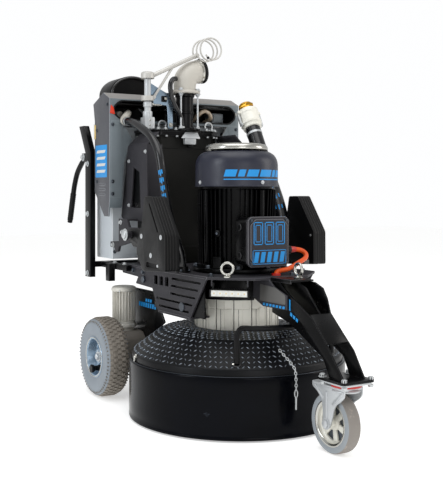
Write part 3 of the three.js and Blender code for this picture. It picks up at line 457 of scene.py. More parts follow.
# Lighter copies of these finishes go on the bevelled edges: a painted highlight where the edges catch
# light.
EDGE_HIGHLIGHT = {"gloss_black": "black_edge", "frame": "frame_edge", "weight": "weight_edge", "hood": "hood_edge",
        "hood_front": "hood_edge", "cabinet": "cabinet_edge"}


def apply_modifiers(piece):
    bpy.context.view_layer.update()
    evaluated = piece.evaluated_get(bpy.context.evaluated_depsgraph_get())
    mesh = bpy.data.meshes.new_from_object(evaluated)
    piece.modifiers.clear()
    piece.data = mesh


def as_object(name, bm):
    bmesh.ops.recalc_face_normals(bm, faces=bm.faces)
    mesh = bpy.data.meshes.new(name)
    bm.to_mesh(mesh)
    bm.free()
    mesh.transform(TO_ROW)
    made = bpy.data.objects.new(name, mesh)
    bpy.context.scene.collection.objects.link(made)
    return made


def publish(name, bm, key, body="chassis", replaces=(), bevel=0.0, segments=2, smooth=32, carve=None):
    """Turns the mesh into a finished piece in the row frame that rides on a body."""
    piece = as_object(name, bm)
    if carve:
        cutter = as_object("cutter", carve)
        difference = piece.modifiers.new("cut", "BOOLEAN")
        difference.operation = "DIFFERENCE"
        difference.solver = "EXACT"
        difference.object = cutter
        apply_modifiers(piece)
        bpy.data.objects.remove(cutter)
    if bevel:
        edge = piece.modifiers.new("edge", "BEVEL")
        edge.width = bevel / 1000
        edge.segments = segments
        edge.limit_method = "ANGLE"
        edge.angle_limit = math.radians(32)
        if key in EDGE_HIGHLIGHT:
            # the bevel faces take the lighter copy: painted edge highlight
            edge.material = 1
        piece.data.materials.clear()
        for one in (key, EDGE_HIGHLIGHT.get(key, key)):
            piece.data.materials.append(MAT[one])
        apply_modifiers(piece)
    else:
        piece.data.materials.clear()
        piece.data.materials.append(MAT[key])
    piece.data.shade_smooth()
    piece.data.set_sharp_from_angle(angle=math.radians(smooth))
    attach(piece, body)
    if replaces:
        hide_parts(*([replaces] if isinstance(replaces, str) else replaces))
    return piece


def body_of(node):
    return next(body for body, members in frame["record"]["behaviour"]["bodies"].items() if node in members)


def refine(node, key, bevel=1.5, segments=2, smooth=32):
    """A copy of a CAD node with its flat faces joined and its edges softened."""
    bm = bmesh.new()
    bm.from_mesh(frame["nodes"][node].data)
    bmesh.ops.remove_doubles(bm, verts=bm.verts, dist=1e-5)
    bmesh.ops.dissolve_limit(bm, angle_limit=math.radians(1.5), verts=bm.verts, edges=bm.edges)
    bm.transform(TO_ROW.inverted())
    return publish(node + "_finished", bm, key, body_of(node), node, bevel, segments, smooth)


def recolour(piece, key, wanted):
    """Gives the faces whose unit normal passes the test a finish of their own."""
    piece.data.materials.append(MAT[key])
    last = len(piece.data.materials) - 1
    for polygon in piece.data.polygons:
        if wanted(polygon):
            polygon.material_index = last


def repaint(node, key):
    """Gives a CAD node that keeps its own shape a finished material."""
    piece = frame["nodes"][node]
    piece.data.materials.clear()
    piece.data.materials.append(MAT[key])


def arc_mark(bm, radius, low, high, start, end, slant=0.0, centre=(0, 0)):
    """A thin raised band on an upright cylinder, between two angles in degrees."""
    steps = max(2, int(abs(end - start) / 4))
    rows = []
    for i in range(steps + 1):
        share = i / steps
        ring = []
        for z, lean in ((low, 0), (high, slant)):
            angle = math.radians(start + (end - start) * share + lean)
            for r in (radius - 0.6, radius + 0.35):
                ring.append(bm.verts.new((centre[0] + r * math.cos(angle), centre[1] + r * math.sin(angle),
                                          z)))
        rows.append(ring)
    for a, b in zip(rows, rows[1:]):
        for i, j in ((0, 1), (1, 3), (3, 2), (2, 0)):
            bm.faces.new((a[i], a[j], b[j], b[i]))
    for ring in (rows[0], rows[-1]):
        bm.faces.new((ring[0], ring[1], ring[3], ring[2]))


def ordered(side, low, high):
    return min(side * low, side * high), max(side * low, side * high)


def curved_plate(bm, inner, outer, low, high, start, end, centre=(0, 0)):
    """An upright plate bent round an upright axis, between two angles in degrees."""
    steps = max(2, int(abs(end - start) / 4))
    rows = []
    for i in range(steps + 1):
        angle = math.radians(start + (end - start) * i / steps)
        rows.append([bm.verts.new((centre[0] + r * math.cos(angle), centre[1] + r * math.sin(angle), z))
                     for r, z in ((inner, low), (outer, low), (outer, high), (inner, high))])
    for a, b in zip(rows, rows[1:]):
        for i in range(4):
            j = (i + 1) % 4
            bm.faces.new((a[i], a[j], b[j], b[i]))
    for ring in (rows[0], rows[-1]):
        bm.faces.new(ring)


def side_prism(bm, side, outline, low, high):
    """A plate in an upright fore-and-aft plane; low and high are distances from the middle."""
    prism(bm, "xz", outline, *ordered(side, low, high))


def side_block(bm, side, x0, x1, low, high, z0, z1):
    block(bm, x0, x1, *ordered(side, low, high), z0, z1)


def polar(radius, degrees, z):
    return Vector((radius * math.cos(math.radians(degrees)), radius * math.sin(math.radians(degrees)), z))


# ---------------------------------------------------------------- light and floor

floor_bm = bmesh.new()
bmesh.ops.create_grid(floor_bm, x_segments=2, y_segments=2, size=14)
floor_mesh = bpy.data.meshes.new("floor")
floor_bm.to_mesh(floor_mesh)
floor_bm.free()
floor = bpy.data.objects.new("floor", floor_mesh)
floor.location.z = -0.0005
bpy.context.scene.collection.objects.link(floor)
floor_paint = surface("floor_white", "#f4f4f3", 0.8, spread=0.01, smudge=0.05, grain=0.0001, grain_scale=60,
                      gloss=0.2)
floor_glow = floor_paint.node_tree.nodes["Principled BSDF"]
floor_glow.inputs["Emission Color"].default_value = (1, 1, 1, 1)
floor_glow.inputs["Emission Strength"].default_value = 0.42
floor_mesh.materials.append(floor_paint)

world = bpy.data.worlds.new("studio")
bpy.context.scene.world = world
world.use_nodes = True
background = world.node_tree.nodes["Background"]
background.inputs["Color"].default_value = (0.99, 0.995, 1.0, 1)
path = world.node_tree.nodes.new("ShaderNodeLightPath")
level = world.node_tree.nodes.new("ShaderNodeMapRange")
level.inputs["To Min"].default_value = 0.62
level.inputs["To Max"].default_value = 1.0
world.node_tree.links.new(path.outputs["Is Camera Ray"], level.inputs["Value"])
world.node_tree.links.new(level.outputs["Result"], background.inputs["Strength"])
bpy.context.scene.view_settings.view_transform = "Standard"


def softbox(name, place, aim, width, height, power, colour=(1, 1, 1)):
    data = bpy.data.lights.new(name, "AREA")
    data.shape = "RECTANGLE"
    data.size, data.size_y = width, height
    data.energy = power
    data.color = colour
    lamp = bpy.data.objects.new(name, data)
    lamp.location = place
    lamp.rotation_euler = (Vector(aim) - Vector(place)).to_track_quat("-Z", "Y").to_euler()
    bpy.context.scene.collection.objects.link(lamp)


softbox("overhead", (0.6, -0.4, 4.2), (0.1, 0, 0.4), 3.2, 3.2, 70)
softbox("left_strip", (0.4, -4.2, 2.2), (0, 0, 0.6), 0.9, 3.0, 55, (0.9, 0.95, 1.0))
softbox("right_rim", (2.2, 3.8, 2.2), (0, 0, 0.7), 1.4, 2.6, 45, (1.0, 0.96, 0.92))
softbox("front_fill", (4.4, -0.9, 1.4), (0, 0, 0.5), 1.8, 1.6, 22)

# ---------------------------------------------------------------- grinding head

MARK = 0.6                # how far a marking stands off the face it is on
CONE_TOP = 292, 328       # radius and height where the cover's cone starts
CONE_RUN, CONE_DROP = 113, 83


def tear(bm, centre, normal, direction, length=15.5, width=5, height=2.1):
    """One raised drop of the tread pattern: a low lens with a sharp crest."""
    across = normal.cross(direction).normalized()
    root = centre - normal * 0.4
    ends = [bm.verts.new(root + direction * (k * length / 2)) for k in (-1, 1)]
    flanks = [bm.verts.new(root + across * (k * width / 2)) for k in (-1, 1)]
    crest = [bm.verts.new(centre + normal * height + direction * (k * length * 0.22)) for k in (-1, 1)]
    bm.faces.new((ends[0], flanks[0], crest[0]))
    bm.faces.new((ends[0], crest[0], flanks[1]))
    bm.faces.new((ends[1], crest[1], flanks[0]))
    bm.faces.new((ends[1], flanks[1], crest[1]))
    bm.faces.new((flanks[0], crest[1], crest[0]))
    bm.faces.new((flanks[1], crest[0], crest[1]))
    bm.faces.new((ends[0], flanks[1], ends[1], flanks[0]))


def tread_ring(bm, radius, z, slope, pitch, row):
    """A ring of drops on the cover; slope is the fall of the surface outwards, in degrees."""
    count = int(2 * math.pi * radius / pitch)
    fall = math.radians(slope)
    for i in range(count):
        angle = 2 * math.pi * (i + 0.5 * (row % 2)) / count
        outward = Vector((math.cos(angle), math.sin(angle), 0))
        around = Vector((-math.sin(angle), math.cos(angle), 0))
        downhill = outward * math.cos(fall) - Vector((0, 0, math.sin(fall)))
        normal = outward * math.sin(fall) + Vector((0, 0, math.cos(fall)))
        turn = 1 if (i + row) % 2 else -1
        tear(bm, outward * radius + Vector((0, 0, z)), normal, (around + downhill * turn).normalized())


def build_head():
    bm = bmesh.new()
    lathe(bm, [(413, 6), (416.8, 6), (417, 8), (417, 13), (416, 15), (416, 30), (416.4, 32), (416.4, 60),
               (415.8, 110), (416.2, 170), (416.6, 216), (415.5, 220), (413.5, 222), (405.6, 222),
               (405.6, 218), (412, 217.5)], 160)
    publish("dust_skirt_rubber", bm, "skirt", replaces="dust_skirt", smooth=50)
    # a lighter steel ring on the skirt's top lip: a painted highlight along that edge
    bm = bmesh.new()
    lathe(bm, [(409, 221.6), (413.6, 221.6), (414.2, 222.2), (413.6, 223), (409.6, 223)], 160)
    publish("skirt_top_highlight_strip", bm, "dark_steel")

    bm = bmesh.new()
    lathe(bm, [(405, 198), (405, 242), (403.4, 245.4), (400, 248.7), (294.5, 326.2), (291, 328.2),
               (287, 328.7), (224, 340.8), (218, 341), (154.3, 341), (154.3, 337), (221, 337),
               (290, 324), (401, 243), (401, 198)], 160)
    publish("head_cover_plate", bm, "tread", replaces="head_cover", smooth=28)
    bm = bmesh.new()
    cone_fall = math.degrees(math.atan2(CONE_DROP, CONE_RUN))
    for row in range(6):
        share = (row + 0.6) / 6.2
        tread_ring(bm, CONE_TOP[0] + CONE_RUN * share, CONE_TOP[1] - CONE_DROP * share, cone_fall, 19, row)
    for row, radius in enumerate((282, 263, 244, 227)):
        tread_ring(bm, radius, 341 - (radius - 222) * 13 / 70, math.degrees(math.atan2(13, 70)), 19, row)
    for row, radius in enumerate((208, 190, 173)):
        tread_ring(bm, radius, 341, 0, 19, row)
    # painted highlight: the drops are coloured light grey to show the glints on their crests
    publish("head_cover_tread_drops", bm, "tread_drops", smooth=50)

    bm = bmesh.new()
    lathe(bm, [(150, 341.3), (161, 341.3), (161, 419), (159.4, 420.4), (159.4, 422), (161, 423.4),
               (161, 527), (163, 531), (163, 541.7), (150, 541.7)], 128)
    for degrees in range(-172, 188, 24):
        for offset, wide in ((3.2, 1.4), (14, 2.6)):
            turn = turned(degrees + offset)
            block(bm, 158, 162.8, -wide, wide, 343, 528, turn)
    publish("head_neck_casting", bm, "cast", replaces="head_neck", bevel=0.8)
    # black curved sheets round the neck: painted shade where the neck sits in shadow under the deck
    bm = bmesh.new()
    for _, side in SIDES:
        for start, end, low in ((-117, -78, 391), (-78, -10, 455)):
            curved_plate(bm, 168, 172, low, 541, *ordered(side, start, end))
    publish("head_neck_shade_aprons", bm, "gloss_black", bevel=0.8)
    bm = bmesh.new()
    for degrees in range(-180, 180, 24):
        turn = turned(degrees)
        block(bm, 158, 161.4, -1.3, 1.3, 342, 526, turn)
        block(bm, 158, 161.3, 17, 18, 342, 420, turn)
    publish("head_neck_seams", bm, "motor")
    bm = bmesh.new()
    for degrees in range(0, 360, 24):
        bolt(bm, polar(160.4, degrees + 12, 516), polar(1, degrees + 12, 0), 9, 3, False, False)
    publish("head_neck_bolts", bm, "zinc")

    bm = bmesh.new()
    reach = 32.3
    at = lambda degrees, z: polar(385, degrees, z)
    route = [at(-reach, 265), at(-reach, 323), at(-reach, 358)]
    route += [at(reach * 0.93 * k / 5, 384) for k in range(-5, 6)]
    route += [at(reach, 358), at(reach, 323), at(reach, 265)]
    sweep(bm, spline(route, 7), 9.8, 24)
    publish("head_lift_hoop_tube", bm, "gloss_black", replaces="head_lift_hoop")
    bm = bmesh.new()
    screws = bmesh.new()
    for degrees in (-reach, reach):
        outward = polar(1, degrees, 0)
        foot = polar(385, degrees, 260.5)
        normal = (outward * CONE_DROP + Vector((0, 0, CONE_RUN))).normalized()
        lathe(bm, disc_profile(13, -1, 3, 1), 40, along(foot, foot + normal))
        spot = foot - polar(1, degrees + 90, 0) * 13 + normal * 1.4
        lathe(screws, disc_profile(4, 0, 2, 0.6), 20, along(spot, spot + normal))
    publish("hoop_feet", bm, "gloss_black", bevel=0.8)
    publish("hoop_screws", screws, "bright")
    repaint("ring_gear", "dark_steel")
    repaint("reduction_housing", "cast")
    refine("planet_carrier", "dark_steel", 1.5)
    for i in (1, 2, 3):
        refine(f"satellite_head_{i}", "zinc", 1.2)

    bm = bmesh.new()
    clip = polar(411, -100, 0)
    turn = Matrix.Translation(Vector((clip.x, clip.y, 0))) @ turned(-100)
    block(bm, -6, 2.5, -5, 5, 224, 246, turn)
    block(bm, -9, -3, -7, 7, 238, 252, turn)
    publish("skirt_latch", bm, "bright", bevel=1.2)


# ---------------------------------------------------------------- motor

TERMINAL = {"back": 158, "split": 232, "front": 250, "right": -107, "left": 72, "bottom": 583, "top": 765}


def chamfered(u0, u1, v0, v1, c):
    return [(u0 + c, v0), (u1 - c, v0), (u1, v0 + c), (u1, v1 - c),
            (u1 - c, v1), (u0 + c, v1), (u0, v1 - c), (u0, v0 + c)]


def frame_mark(bm, x, y0, y1, z0, z1, line):
    """A rectangular outline of thin strips on the terminal box's lid."""
    for a, b, c, d in ((y0, y1, z0, z0 + line), (y0, y1, z1 - line, z1),
                       (y0, y0 + line, z0, z1), (y1 - line, y1, z0, z1)):
        prism(bm, "yz", rect(a, b, c, d), x - 0.5, x + 0.4)


def build_motor():
    bm = bmesh.new()
    lathe(bm, [(22.5, 550.3), (168.5, 550.3), (170, 552), (170, 566), (168, 568.5), (146, 571), (138, 578),
               (136, 590), (136, 862), (140, 868), (140, 876), (138, 878), (22.5, 878), (22.5, 856),
               (82, 856), (82, 606), (22.5, 606)], 96)
    for step in range(48):
        degrees = 7.5 * step + 3.75
        facing_box = abs((degrees + 180) % 360 - 180) < 34
        low, high, tip = 582, 868, 154 + rng.uniform(-0.6, 0.6)
        if step % 12 == 7:
            continue
        turn = turned(degrees)
        stretches = ((low, 616), (742, high)) if facing_box else ((low, high),)
        for z0, z1 in stretches:
            wedge(bm, [turn @ Vector(c) for c in (
                (134, -2.6, z0), (134, 2.6, z0), (tip - 5, 1.4, z0), (tip - 5, -1.4, z0),
                (134, -2.6, z1), (134, 2.6, z1), (tip, 1.4, z1 - 5), (tip, -1.4, z1 - 5))])
    for degrees in (-82.5, 7.5, 97.5, 187.5):
        start = polar(147, degrees, 590)
        cylinder(bm, start, start + Vector((0, 0, 272)), 8.5, 20)
    for degrees in (-60, -30, 150, 200, 60):
        turn = turned(degrees)
        block(bm, 132, 158, -17, 17, 570, 612, turn)
        cylinder(bm, turn @ Vector((138, 0, 700)), turn @ Vector((157, 0, 700)), 13, 28)
    block(bm, 126, 157.7, -84, 50, 622, 736)
    publish("motor_housing_finned", bm, "motor", replaces="motor_housing", bevel=0.6, segments=1)
    repaint("motor_rotor", "dark_steel")

    bm = bmesh.new()
    for degrees in range(15, 375, 45):
        bolt(bm, polar(158, degrees, 568.3), (0, 0, 1), 16, 10)
    for degrees in (-60, -30, 150, 200, 60):
        bolt(bm, polar(157, degrees, 700), polar(1, degrees, 0), 10, 5, False)
    publish("motor_bolts", bm, "dark_steel")

    bm = bmesh.new()
    lathe(bm, [(160, 876), (160, 957), (158.8, 968), (156, 979), (151, 989), (144.5, 997.5), (136, 1004),
               (126.5, 1009), (116, 1011.6), (110, 1012), (64, 1012), (64, 1009), (115, 1009), (134, 1001),
               (149, 985), (156.5, 958), (157, 876)], 128)
    publish("fan_cowl_pressing", bm, "cowl", replaces="fan_cowl", smooth=40)
    bm = bmesh.new()
    lathe(bm, [(157.4, 876.2), (160.8, 875.4), (161.4, 877.6), (160.6, 879.6), (159.5, 879.8)], 128)
    publish("fan_cowl_hem", bm, "cowl")
    bm = bmesh.new()
    for radius in (26, 40, 54, 67):
        torus(bm, lambda a: Vector((radius * math.cos(a), radius * math.sin(a), 1010.4)), 48, 1.4, 8)
    for degrees in range(0, 360, 45):
        cylinder(bm, polar(24, degrees, 1011.6), polar(68, degrees, 1011.6), 1.4, 8)
    publish("cowl_guard", bm, "motor")
    bm = bmesh.new()
    for degrees in (-92, 5, 95, 185):
        bolt(bm, polar(159.6, degrees, 891), polar(1, degrees, 0), 9, 3.4, True, False)
    publish("cowl_screws", bm, "pale_zinc")
    bm = bmesh.new()
    for start, end in ((-50, -34), (-31, -22), (-19, -3), (0, 20), (23, 31), (34, 46)):
        arc_mark(bm, 160, 912, 938, start, end, 3)
    arc_mark(bm, 160, 900, 904, -50, 46)
    publish("cowl_marking", bm, "blue")

    bm = bmesh.new()
    lathe(bm, [(0, 1043), (60, 1042.6), (96, 1041), (110, 1038), (117, 1033.5), (120.4, 1027),
               (121, 1019.5), (120.2, 1018), (118.8, 1018), (118.4, 1026), (115.5, 1031.6), (109, 1035.8),
               (95, 1038.4), (0, 1040)], 128)
    posts = bmesh.new()
    for k in range(4):
        foot = polar(96, 45 + 90 * k, 1012.3)
        cylinder(posts, foot, foot + Vector((0, 0, 26)), 5, 20)
        lathe(posts, disc_profile(9, 0, 2, 0.6), 20, Matrix.Translation(foot))
    publish("rain_cap_spun", bm, "bright", replaces="rain_cap", smooth=40)
    publish("rain_cap_posts", posts, "motor")

    box = TERMINAL
    y0, y1, z0, z1 = box["right"], box["left"], box["bottom"], box["top"]
    bm = bmesh.new()
    prism(bm, "yz", rounded(chamfered(y0 + 3, y1 - 3, z0 + 3, z1 - 3, 14), 10), box["back"],
          box["split"] - 0.4)
    prism(bm, "yz", rounded(chamfered(y0 + 1, y1 - 1, z0 + 1, z1 - 1, 13), 8), box["split"] - 9,
          box["split"] - 0.4)
    for z in (622, 726):
        cylinder(bm, (186, y0 + 6, z), (186, y0 - 1, z), 13, 28)
    lathe(bm, rect(0, 19, 0, 16), 6, along((205, y1 - 6, 640), (205, 200, 640)))
    lathe(bm, [(0, 15), (16.5, 15), (16.5, 22), (14, 24), (14, 30), (15.5, 31), (14, 40), (11, 42),
               (0, 42)],
          32, along((205, y1 - 6, 640), (205, 200, 640)))
    publish("terminal_box_casting", bm, "gloss_black", replaces="terminal_box", bevel=2.2, segments=3)

    bm = bmesh.new()
    split, front = box["split"], box["front"]
    prism(bm, "yz", rounded(chamfered(y0, y1, z0, z1, 13), 5), split, front - 5)
    prism(bm, "yz", rounded(chamfered(y0 + 9, y1 - 9, z0 + 9, z1 - 9, 20), 6), front - 7, front - 0.4)
    publish("terminal_box_lid_casting", bm, "frame", replaces="terminal_box_lid", bevel=1.8, segments=3)
    bm = bmesh.new()
    for y in (y0 + 13, y1 - 13):
        for z in (z0 + 13, z1 - 13):
            bolt(bm, (front - 5.2, y, z), (1, 0, 0), 9, 4.4, True)
    publish("terminal_lid_screws", bm, "dark_steel")
    bm = bmesh.new()
    face = front - 0.4
    for low, high in ((-86, -46), (-38, 2), (10, 50)):
        frame_mark(bm, face, low, high, 664, 746, 3)
        frame_mark(bm, face, low + 8, high - 8, 674, 736, 2.4)
    for k in range(5):
        y = -86 + 28 * k
        prism(bm, "yz", slant(y, 18, 600, 638, 7), face - 0.5, face + 0.35)
    frame_mark(bm, face, -90, 56, 594, 645, 2.2)
    publish("terminal_lid_marking", bm, "blue")

    bm = bmesh.new()
    lead = [(205, 108.3, 640), (205, 130, 640), (212, 151, 636), (224, 163, 625), (234, 158, 612),
            (240, 140, 602), (244, 115, 592), (244, 90, 580), (244, 65, 571), (243, 42, 568),
            (240, 27, 565), (240, 20, 560), (240, 18, 553)]
    sweep(bm, spline(lead, 6), 8.8, 20)
    publish("motor_lead_cable", bm, "orange", replaces="motor_lead")
    bm = bmesh.new()
    sweep(bm, [Vector(q) for q in ((205, 106, 640), (205, 112, 640), (205, 124, 640), (206, 131, 639.6))],
          lambda share: 12.6 - 2.6 * share, 24)
    lathe(bm, [(9.4, 0), (17, 0), (17, 6), (13, 9), (9.4, 9)], 32, moved(240, 18, 550))
    publish("lead_sleeves", bm, "red")


# ---------------------------------------------------------------- main frame

DECK_TOP = 550
SIDE_PLATE_Y = 240        # outer faces, as distances from the middle plane
ARM_Y = 45
CHEEK_Y = 55
CARRIAGE_Y = 163


def lamp_frame():
    turn = math.atan2(300 - 180, 240 - 117)
    return moved(227, -173, 494) @ Matrix.Rotation(-turn, 4, "Z")


def build_work_light():
    place = lamp_frame()
    bm = bmesh.new()
    prism(bm, "yz", rounded(chamfered(-72, 72, -14, 14, 4), 3), -12, 11, place)
    for k in range(22):
        y = -63 + 6 * k
        block(bm, -16, 8, y - 1.3, y + 1.3, 12, 17, place)
        block(bm, -16, -11, y - 1.3, y + 1.3, -12, 13, place)
    for y in (-60, 60):
        prism(bm, "xz", rounded([(-8, 12), (4, 12), (4, 36), (0, 40), (-5, 40), (-8, 36)], 3), y - 3,
              y + 3, place)
    for z0, z1 in ((-14, -11), (11, 14)):
        block(bm, 10, 14, -70, 70, z0, z1, place)
    for y0, y1 in ((-72, -66), (66, 72)):
        block(bm, 10, 14, y0, y1, -13, 13, place)
    publish("work_light_housing", bm, "plastic", "lamp", "work_light", bevel=0.6)
    bm = bmesh.new()
    block(bm, 10.4, 12, -66.5, 66.5, -11.4, 11.4, place)
    for k in range(6):
        y = -55 + 22 * k
        lathe(bm, [(10, 0), (10.6, 2.6), (9.6, 2.6), (5, 0.6), (0, 0.6), (0, 0)], 28,
              place @ moved(11.2, y, 0) @ AXIS_TURN["x"])
    publish("work_light_lens", bm, "lens", "lamp")
    bm = bmesh.new()
    for k in range(6):
        centre = place @ Vector((11.9, -55 + 22 * k, 0))
        outward = (place.to_3x3() @ Vector((1, 0, 0)))
        lathe(bm, [(0, 0), (2.4, 0), (2, 0.9), (0, 1.2)], 16, along(centre, centre + outward))
    publish("work_light_diodes", bm, "led", "lamp")


def lifting_eye(name, node, place, degrees):
    bm = bmesh.new()
    turn = Matrix.Translation(place) @ turned(degrees)
    torus(bm, lambda a: turn @ Vector((21 * math.cos(a), 0, 31 + 21 * math.sin(a))), 56, 5, 20)
    lathe(bm, [(0, 0), (15, 0), (15.6, 1), (15.6, 4), (13, 6), (8.5, 7), (7, 11), (0, 12)], 40, turn)
    publish(name, bm, "bright", replaces=node)


def build_frame():
    for node, key in (("chassis_frame", "frame"), ("wheel_carriage", "gloss_black"),
                      ("caster_arm", "gloss_black")):
        refine(node, key, 1.6)
    lifting_eye("lifting_eye_frame_ring", "lifting_eye_frame", (222, -180, DECK_TOP + 0.3), 60)
    lifting_eye("lifting_eye_arm_ring", "lifting_eye_arm", (374, 20, DECK_TOP + 0.3), 0)

    bm = bmesh.new()
    for _, side in SIDES:
        lathe(bm, [(0, 0), (17, 0), (18, 1), (18, 3), (16, 4.6), (0, 5)], 40,
              along((-3, side * SIDE_PLATE_Y, 424), (-3, side * 300, 424)))
        for x, z in ((-518, 530), (-420, 530), (-330, 530)):
            bolt(bm, (x, side * SIDE_PLATE_Y, z), (0, side, 0), 15, 8)
        bolt(bm, (-324, side * SIDE_PLATE_Y, 500), (0, side, 0), 26, 9, False)
    for x, y in ((150, -205), (150, 205), (-120, -215), (-120, 215), (268, 70)):
        bolt(bm, (x, y, DECK_TOP), (0, 0, 1), 15, 9)
    publish("chassis_bolts", bm, "dark_steel")

    bm = bmesh.new()
    for _, side in SIDES:
        side_block(bm, side, -196, 54, 236, 242, 382.5, 391.5)
        side_block(bm, side, -544, 180, 236, 241.6, 543, 551.6)
    publish("chassis_edge_folds", bm, "frame", bevel=1.2)
    # near-black sheets inside the side plates: painted shade seen through the slots
    bm = bmesh.new()
    for _, side in SIDES:
        side_block(bm, side, -250, 145, 224, 229, 395, 538)
    publish("chassis_shade_liners", bm, "motor", bevel=1)

    bm = bmesh.new()
    for x in (604, 714):
        for y in (-54, 54):
            bolt(bm, (x, y, 255), (0, 0, 1), 16, 10, x < 700)
            bolt(bm, (x, y, 239.8), (0, 0, -1), 16, 9, False)
    publish("caster_pad_bolts", bm, "zinc")
    bm = bmesh.new()
    block(bm, 303, 424, -50, -45.2, 538, 552)
    for y in (-46.5, 46.5):
        block(bm, 304, 400, y - 3, y + 3, 541, 550.5)
    publish("caster_arm_top_folds", bm, "gloss_black", bevel=1.5)
    bm = bmesh.new()
    for x in (414, 430, 446):
        z = 436 - (x - 414) * 0.47
        side_prism(bm, -1, [(x, z - 6), (x + 11, z - 11), (x + 14, z), (x + 3, z + 5)], ARM_Y, ARM_Y + MARK)
    side_prism(bm, -1, [(409, 485), (416, 482), (416, 444), (409, 447)], ARM_Y, ARM_Y + MARK)
    publish("caster_arm_marking", bm, "blue")
    bm = bmesh.new()
    for x in (262, 282, 302, 322, 342, 362, 382):
        side_prism(bm, -1, slant(x, 13, 449, 458, 2), CHEEK_Y, CHEEK_Y + MARK)
    publish("cheek_marking", bm, "blue")
    bm = bmesh.new()
    side_prism(bm, -1, rounded([(244, 464), (400, 464), (400, 496), (342, 518), (244, 524)], 6), CHEEK_Y,
               CHEEK_Y + 0.8)
    publish("cheek_panel", bm, "panel_grey", bevel=0.3)
    bm = bmesh.new()
    for x, z in ((330, 520), (392, 486), (330, 456)):
        bolt(bm, (x, ARM_Y, z), (0, 1, 0), 13, 7)
    publish("caster_arm_bolts", bm, "zinc")
    bm = bmesh.new()
    for start, count, low, high in ((-530, 8, 366, 385), (-466, 3, 390, 403)):
        for k in range(count):
            x = start + 21 * k
            side_prism(bm, -1, slant(x, 14, low, high, 3), CARRIAGE_Y, CARRIAGE_Y + MARK)
    publish("carriage_marking", bm, "blue")

    bm = bmesh.new()
    route = spline([(350, -44, 300), (378, -38, 279), (405, -32, 259), (419, -28, 241), (422, -26, 212),
                    (422, -25, 172)], 24)
    travelled, count = 8.0, 0
    for point, after in zip(route, route[1:]):
        travelled += (after - point).length
        if travelled < 9.6:
            continue
        travelled = 0.0
        direction = (after - point).normalized()
        side_way = direction.orthogonal().normalized()
        if count % 2:
            side_way = direction.cross(side_way)
        torus(bm, lambda a: after + direction * (6.6 * math.cos(a)) + side_way * (3.8 * math.sin(a)),
              20, 1.5, 8)
        count += 1
    sweep(bm, spline([(422, -25, 176), (422, -30, 168), (422, -32, 156), (422, -27, 147), (422, -21, 150),
                      (422, -20, 164), (422, -25, 174)], 6), 1.9, 10)
    cylinder(bm, (422, -26, 148), (422, -26, 104), 3, 16)
    publish("pin_chain_links", bm, "zinc", replaces="pin_chain")


# ---------------------------------------------------------------- front caster

CASTER_X = 659
AXLE_X = 604


